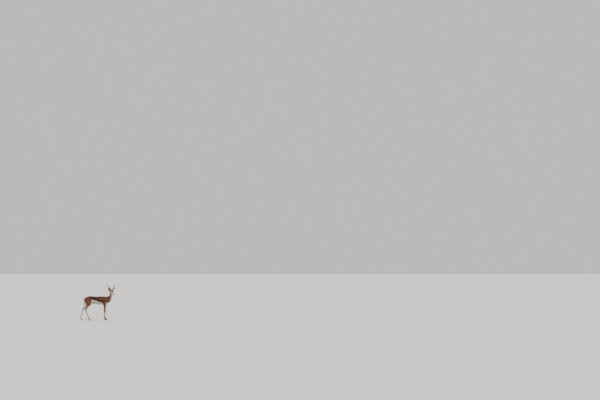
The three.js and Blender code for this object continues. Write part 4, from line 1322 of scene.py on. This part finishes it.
def grow_ear(name, s, rng):
    """Short hair on the back of an ear, and long pale hair along its inner edges."""
    rings = ear_shell(s)
    outer, inner = rings[:, :EAR_ARC], rings[:, EAR_ARC:][:, ::-1]
    parts = []
    for inside, sheet in ((False, outer), (True, inner)):
        rows, columns = sheet.shape[:2]
        first = sheet[:-1, :-1]
        cell = np.linalg.norm(np.cross(sheet[1:, :-1] - first, sheet[:-1, 1:] - first), axis=2)
        total = np.cumsum(cell.ravel() / (4.2 if inside else 2.6))
        count = int(total[-1])
        pick = np.searchsorted(total, np.arange(count) + rng.uniform(0.05, 0.95, count))
        pick = pick.clip(0, cell.size - 1)
        row, column = np.divmod(pick, columns - 1)
        u, v = rng.random((2, count, 1))
        corner = [sheet[row + i, column + j] for i in (0, 1) for j in (0, 1)]
        root = lerp(lerp(corner[0], corner[1], v), lerp(corner[2], corner[3], v), u)
        up = unit(corner[2] - corner[0] + corner[3] - corner[1])
        over = unit(corner[1] - corner[0] + corner[3] - corner[2])
        normal = unit(np.cross(up, over))
        facing = np.sign((normal * (inner.mean(1)[row] - root)).sum(1, keepdims=True))
        normal *= facing * (1 if inside else -1)
        t = (row + u[:, 0]) / (rows - 1)
        a = (column + v[:, 0]) / (columns - 1) * 2 - 1
        if inside:
            fringe = rise(np.abs(a), 0.35, 0.8) * fall(t, 0.6, 0.95)
            lie = unit(up - 1.1 * np.sign(a)[:, None] * over * fringe[:, None])
            length = lerp(4.5, 15, fringe) * rng.uniform(0.7, 1.25, count)
            lift = lerp(0.12, 0.38, fringe)
            width = np.full(count, 1.1)
        else:
            lie = unit(up + 0.25 * np.sign(a)[:, None] * over)
            length = lerp(8.0, 4.5, t) * rng.uniform(0.8, 1.2, count)
            lift = np.full(count, 0.14)
            width = np.full(count, 1.2)
        colour = ear_colour_at(t, a, np.full(count, inside))
        if inside:
            colour = mix(colour, PALE, 0.8 * fringe)
        keep = (t > 0.05) & (t < 0.985)
        chart = np.stack([0.25 + 0.2 * a + 0.5 * inside, 0.05 + 0.9 * t], axis=1)
        parts.append([v[keep] for v in (root, normal, lie, length, width, lift, colour, chart)])
    root, normal, lie, length, width, lift, colour, chart = (np.concatenate(v) for v in zip(*parts))
    colour = colour * rng.uniform(0.88, 1.12, (len(root), 1))
    turn = HEAD_TURN.T
    tufts(name, head_to_body(root), normal @ turn, lie @ turn, length, width, lift, colour, chart, 1, rng)


def grow_lashes(rng):
    """Dark lashes along the edge of each upper lid."""
    parts = []
    for s in (-1, 1):
        out, along, over = eye_axes(s)
        root = lid_arc(s, 9.6, EYE_RADIUS + 1.8, 0.8, LASHES)
        turn = np.linspace(-1, 1, LASHES)[:, None]
        lie = unit(0.95 * out + 0.3 * over + 0.6 * turn * along + 0.12 * rng.normal(size=(LASHES, 3)))
        parts.append([root, lie])
    root, lie = (np.concatenate(v) for v in zip(*parts))
    count = len(root)
    normal = unit(np.cross(np.cross(lie, [0, 0, 1]), lie))
    turn = HEAD_TURN.T
    chart = np.stack([np.linspace(0.05, 0.95, count), np.full(count, 0.5)], axis=1)
    tufts("coat_lashes", head_to_body(root), normal @ turn, lie @ turn, rng.uniform(7, 10.5, count),
          np.full(count, 0.55), np.full(count, 0.3), np.tile(TUFT, (count, 1)), chart, 2, rng)


def grow_tail_tuft(rng):
    """Long dark locks at the end of the tail."""
    count = TAIL_LOCKS
    t = rng.uniform(0.62, 1, count) ** 0.8
    place = t * (len(TAIL_LINE) - 1)
    knots = np.arange(len(TAIL_LINE))
    middle = np.stack([np.interp(place, knots, TAIL_LINE[:, n]) for n in range(3)], axis=1)
    a = rng.uniform(0, 2 * np.pi, count)
    normal = np.stack([np.cos(a), np.sin(a), np.zeros(count)], axis=1)
    root = middle + normal * 2.5
    lie = unit(np.array([0.02, 0, -1]) + 0.10 * normal + 0.05 * rng.normal(size=(count, 3)))
    length = lerp(30, 62, rise(t, 0.6, 0.95)) * rng.uniform(0.75, 1.15, count)
    colour = mix(lerp(PALE, STRIPE, 0.6), TUFT, rise(t, 0.62, 0.75))
    colour = colour * rng.uniform(0.8, 1.3, (count, 1))
    chart = np.stack([a / (2 * np.pi), t], axis=1)
    tufts("coat_tail_tuft", root, normal, lie, length, rng.uniform(2.4, 3.6, count), np.full(count, 0.1),
          colour, chart, 3, rng)


def grow_coat():
    points, tris = skin_arrays()
    normals = normals_of(points, tris)
    shares = nearness(points)
    in_head = body_to_head(points)
    bare, bald = bareness(in_head, shares)
    colour = coat_colour(points, normals, shares)
    on_ear, ear_colour = ear_markings(in_head)
    colour[on_ear] = ear_colour
    shares[on_ear] = np.eye(len(PARTS))[PARTS.index("head")]
    # the skin takes the markings darkened by 0.82 as painted shade from the hair over it, and dark bare skin
    # on the rims
    paint(skin.data, lerp(colour * 0.82, BARE, bare[:, None]))
    owner = shares.argmax(1)
    owner_of_face = owner[tris[:, 0]]
    is_ear = np.zeros(len(points), bool)
    is_ear[on_ear] = True
    hairless = bald[tris].any(1) | is_ear[tris].all(1)
    rng = np.random.default_rng(COAT_SEED)
    for number, part in enumerate(PARTS):
        length, width, lift, per_tuft = COAT.get(part, COAT["leg"])
        chosen = tris[(owner_of_face == number) & ~hairless]
        if len(chosen) == 0:
            continue
        face, weights = scatter(points, chosen, per_tuft, rng)

        def at(values):
            return np.einsum("ij,ij...->i...", weights, values[chosen[face]])

        root, normal = at(points), unit(at(normals))
        share = at(shares)
        lie = coat_lie(root, normal, share)
        count = len(root)
        # hair is shorter down the legs and towards the muzzle
        short = np.ones(count)
        if "leg" in part:
            short = lerp(0.7, 1.7, rise(root[:, 2], 250, 620)) + 0.7 * fall(root[:, 2], 38, 60)
        if part == "head":
            short = lerp(1.3, 0.6, rise(body_to_head(root)[:, 0], -10, 150))
        size = length * short * rng.uniform(0.8, 1.2, count)
        breadth = width * np.sqrt(short) * rng.uniform(0.75, 1.25, count)
        tint = coat_colour(root, normal, share) * rng.uniform(0.9, 1.1, (count, 1))
        chart = cylinder_chart(root, part)
        spread = lift * rng.uniform(0.7, 1.3, count)
        pieces = {part: np.ones(count, bool)}
        if part == "trunk":
            left, fore = root[:, 1] > 0, root[:, 0] > 20
            pieces = {
                "right_fore": ~left & fore,
                "right_rear": ~left & ~fore,
                "left_fore": left & fore,
                "left_rear": left & ~fore,
            }
        for label, own in pieces.items():
            tufts(f"coat_{label}", root[own], normal[own], lie[own], size[own], breadth[own], spread[own],
                  tint[own], chart[own], 1, rng)


grow_coat()
hair_rng = np.random.default_rng(EAR_SEED)
for side, s in SIDES.items():
    grow_ear(f"coat_ear_{side}", s, hair_rng)
grow_lashes(hair_rng)
grow_tail_tuft(hair_rng)

# Materials

FLOOR_COLOUR = (0.7, 0.685, 0.66, 1)


class Look:
    """A material and the nodes that feed its one shader."""

    def __init__(self, name, roughness, specular=0.4):
        self.material = bpy.data.materials.new(name)
        self.material.use_nodes = True
        self.tree = self.material.node_tree
        self.shader = self.tree.nodes["Principled BSDF"]
        self.shader.inputs["Roughness"].default_value = roughness
        self.shader.inputs["Specular IOR Level"].default_value = specular
        place = self.tree.nodes.new("ShaderNodeTexCoord")
        self.place = place.outputs["Object"]

    def link(self, a, b):
        self.tree.links.new(a, b)

    def feed(self, socket, value):
        self.link(value, self.shader.inputs[socket])

    def node(self, kind, **sockets):
        """A node, with numbers for its sockets by name."""
        node = self.tree.nodes.new(kind)
        for name, value in sockets.items():
            node.inputs[name.replace("_", " ")].default_value = value
        return node

    def tint(self):
        node = self.tree.nodes.new("ShaderNodeAttribute")
        node.attribute_name = "tint"
        return node.outputs["Color"]

    def noise(self, scale, detail, squeeze=(1, 1, 1)):
        """Noise of about one lump for each 1 / scale metres."""
        node = self.node("ShaderNodeTexNoise", Scale=scale, Detail=detail)
        mapping = self.node("ShaderNodeMapping", Scale=squeeze)
        self.link(self.place, mapping.inputs["Vector"])
        self.link(mapping.outputs["Vector"], node.inputs["Vector"])
        return node.outputs["Fac"]

    def spread(self, value, low, high):
        """Noise, mostly 0.3 to 0.7, stretched to run from low to high."""
        node = self.node("ShaderNodeMapRange", From_Min=0.3, From_Max=0.7, To_Min=low, To_Max=high)
        self.link(value, node.inputs["Value"])
        return node.outputs["Result"]

    def scaled(self, colour, amount):
        node = self.tree.nodes.new("ShaderNodeVectorMath")
        node.operation = "SCALE"
        self.link(colour, node.inputs[0])
        self.link(amount, node.inputs["Scale"])
        return node.outputs["Vector"]

    def multiplied(self, a, b):
        node = self.tree.nodes.new("ShaderNodeMath")
        node.operation = "MULTIPLY"
        self.link(a, node.inputs[0])
        self.link(b, node.inputs[1])
        return node.outputs["Value"]

    def bump(self, height, depth, strength):
        node = self.node("ShaderNodeBump", Strength=strength, Distance=depth)
        self.link(height, node.inputs["Height"])
        self.link(node.outputs["Normal"], self.shader.inputs["Normal"])


def grown_look(name, specular, tones, rough, relief):
    """Hair or horn. tones and rough are noise and its range, and relief is noise, depth and strength."""
    look = Look(name, 0.5, specular)
    broad, fine = (look.spread(look.noise(*noise), *span) for noise, span in tones)
    look.feed("Base Color", look.scaled(look.tint(), look.multiplied(broad, fine)))
    look.feed("Roughness", look.spread(look.noise(*rough[0]), *rough[1]))
    look.bump(look.noise(*relief[0]), *relief[1])
    return look


def coat_look(name, hair_depth):
    """Tinted hair with dapples the size of a coin and fine streaks."""
    tones = [((38, 2), (0.93, 1.07)), ((520, 2), (0.84, 1.14))]
    look = grown_look(name, 0.28, tones, ((160, 3), (0.52, 0.7)), ((900, 2), (hair_depth, 0.6)))
    look.shader.inputs["Sheen Weight"].default_value = 0.14
    look.shader.inputs["Sheen Roughness"].default_value = 0.45
    return look.material


def horn_look():
    """Dark ridged horn with fine grooves along it and paler, worn ring tops."""
    tones = [((420, 4, (1, 1, 0.16)), (0.7, 1.25)), ((34, 3), (0.8, 1.2))]
    relief = ((640, 4, (1, 1, 0.14)), (0.0007, 0.8))
    return grown_look("horn", 0.45, tones, ((90, 4), (0.36, 0.62)), relief).material


def hoof_look():
    """Grey-black horn with growth lines, scuffed and dusty near the ground."""
    flat = (0.12, 0.12, 1)
    tones = [((150, 5), (0.72, 1.3)), ((240, 2, flat), (0.85, 1.15))]
    relief = ((300, 3, flat), (0.0006, 0.8))
    return grown_look("hoof", 0.4, tones, ((70, 4), (0.42, 0.68)), relief).material


def eye_look():
    """Wet eye: dark brown iris with faint rays, and a long level pupil."""
    look = Look("eye", 0.08, 0.45)
    rays = look.spread(look.noise(700, 2), 0.75, 1.25)
    look.feed("Base Color", look.scaled(look.tint(), rays))
    return look.material


def floor_look():
    """Pale matt studio floor with a very faint mottling."""
    look = Look("floor", 0.85, 0.2)
    shade = look.tree.nodes.new("ShaderNodeRGB")
    shade.outputs["Color"].default_value = FLOOR_COLOUR
    mottle = look.spread(look.noise(1.7, 5), 0.985, 1.015)
    look.feed("Base Color", look.scaled(shade.outputs["Color"], mottle))
    look.feed("Roughness", look.spread(look.noise(9, 3), 0.8, 0.92))
    return look.material


def dress(piece, material):
    piece.data.materials.clear()
    piece.data.materials.append(material)


LOOKS = {
    "skin": coat_look("skin", 0.0006),
    "coat_": coat_look("hair", 0.0003),
    "ringed_horn": horn_look(),
    "eyeball": eye_look(),
    "claws": hoof_look(),
}
for piece in bpy.data.objects:
    for start, material in LOOKS.items():
        if piece.name.startswith(start):
            dress(piece, material)

# Camera: the photograph's, far off to the animal's right and at eye height

CAMERA_LENS = 50
CAMERA_SENSOR = 36
PHOTO_WIDTH = 600
PHOTO_HEIGHT = 400
FOCAL = CAMERA_LENS / CAMERA_SENSOR * PHOTO_WIDTH
MM_PER_PIXEL = 35
HORIZON_ROW = 273
GROUND_ROW = 318.4
ANIMAL_COLUMN = 98
camera_distance = FOCAL * MM_PER_PIXEL * MM
camera_height = (GROUND_ROW - HORIZON_ROW) * MM_PER_PIXEL * MM
yaw = math.atan((PHOTO_WIDTH / 2 - ANIMAL_COLUMN) / FOCAL)
pitch = math.atan((HORIZON_ROW - PHOTO_HEIGHT / 2) / FOCAL)
camera = bpy.data.objects.new("camera", bpy.data.cameras.new("camera"))
camera.data.lens = CAMERA_LENS
camera.data.sensor_width = CAMERA_SENSOR
camera.data.clip_end = 3000
camera.location = (SHIFT[0] * MM, -camera_distance, camera_height)
camera.rotation_euler = (math.pi / 2 + pitch, 0, -yaw)
bpy.context.scene.collection.objects.link(camera)
bpy.context.scene.camera = camera

# Stage and light

FLOOR_HALF = 1200
SKY_COLOUR = (0.95, 0.96, 1, 1)
SKY_POWER = 0.78
mesh = bpy.data.meshes.new("floor")
corners = [(-FLOOR_HALF, -FLOOR_HALF, 0), (FLOOR_HALF, -FLOOR_HALF, 0)]
corners += [(FLOOR_HALF, FLOOR_HALF, 0), (-FLOOR_HALF, FLOOR_HALF, 0)]
mesh.from_pydata(corners, [], [(0, 1, 2, 3)])
floor = bpy.data.objects.new("floor", mesh)
bpy.context.scene.collection.objects.link(floor)
dress(floor, floor_look())


def sun(name, direction, angle, power, colour):
    light = bpy.data.lights.new(name, "SUN")
    light.angle = math.radians(angle)
    light.energy = power
    light.color = colour
    piece = bpy.data.objects.new(name, light)
    piece.rotation_euler = Vector(direction).to_track_quat("-Z", "Y").to_euler()
    bpy.context.scene.collection.objects.link(piece)


sun("key", (-0.5, 0.62, -0.85), 22, 2.7, (1, 0.965, 0.92))
sun("fill", (0.8, 0.45, -0.45), 60, 0.6, (0.94, 0.97, 1))
sun("back", (0.3, -0.8, -0.6), 35, 1.1, (1, 0.95, 0.88))
world = bpy.data.worlds.new("studio")
world.use_nodes = True
sky = world.node_tree.nodes["Background"]
sky.inputs["Color"].default_value = SKY_COLOUR
sky.inputs["Strength"].default_value = SKY_POWER
bpy.context.scene.world = world
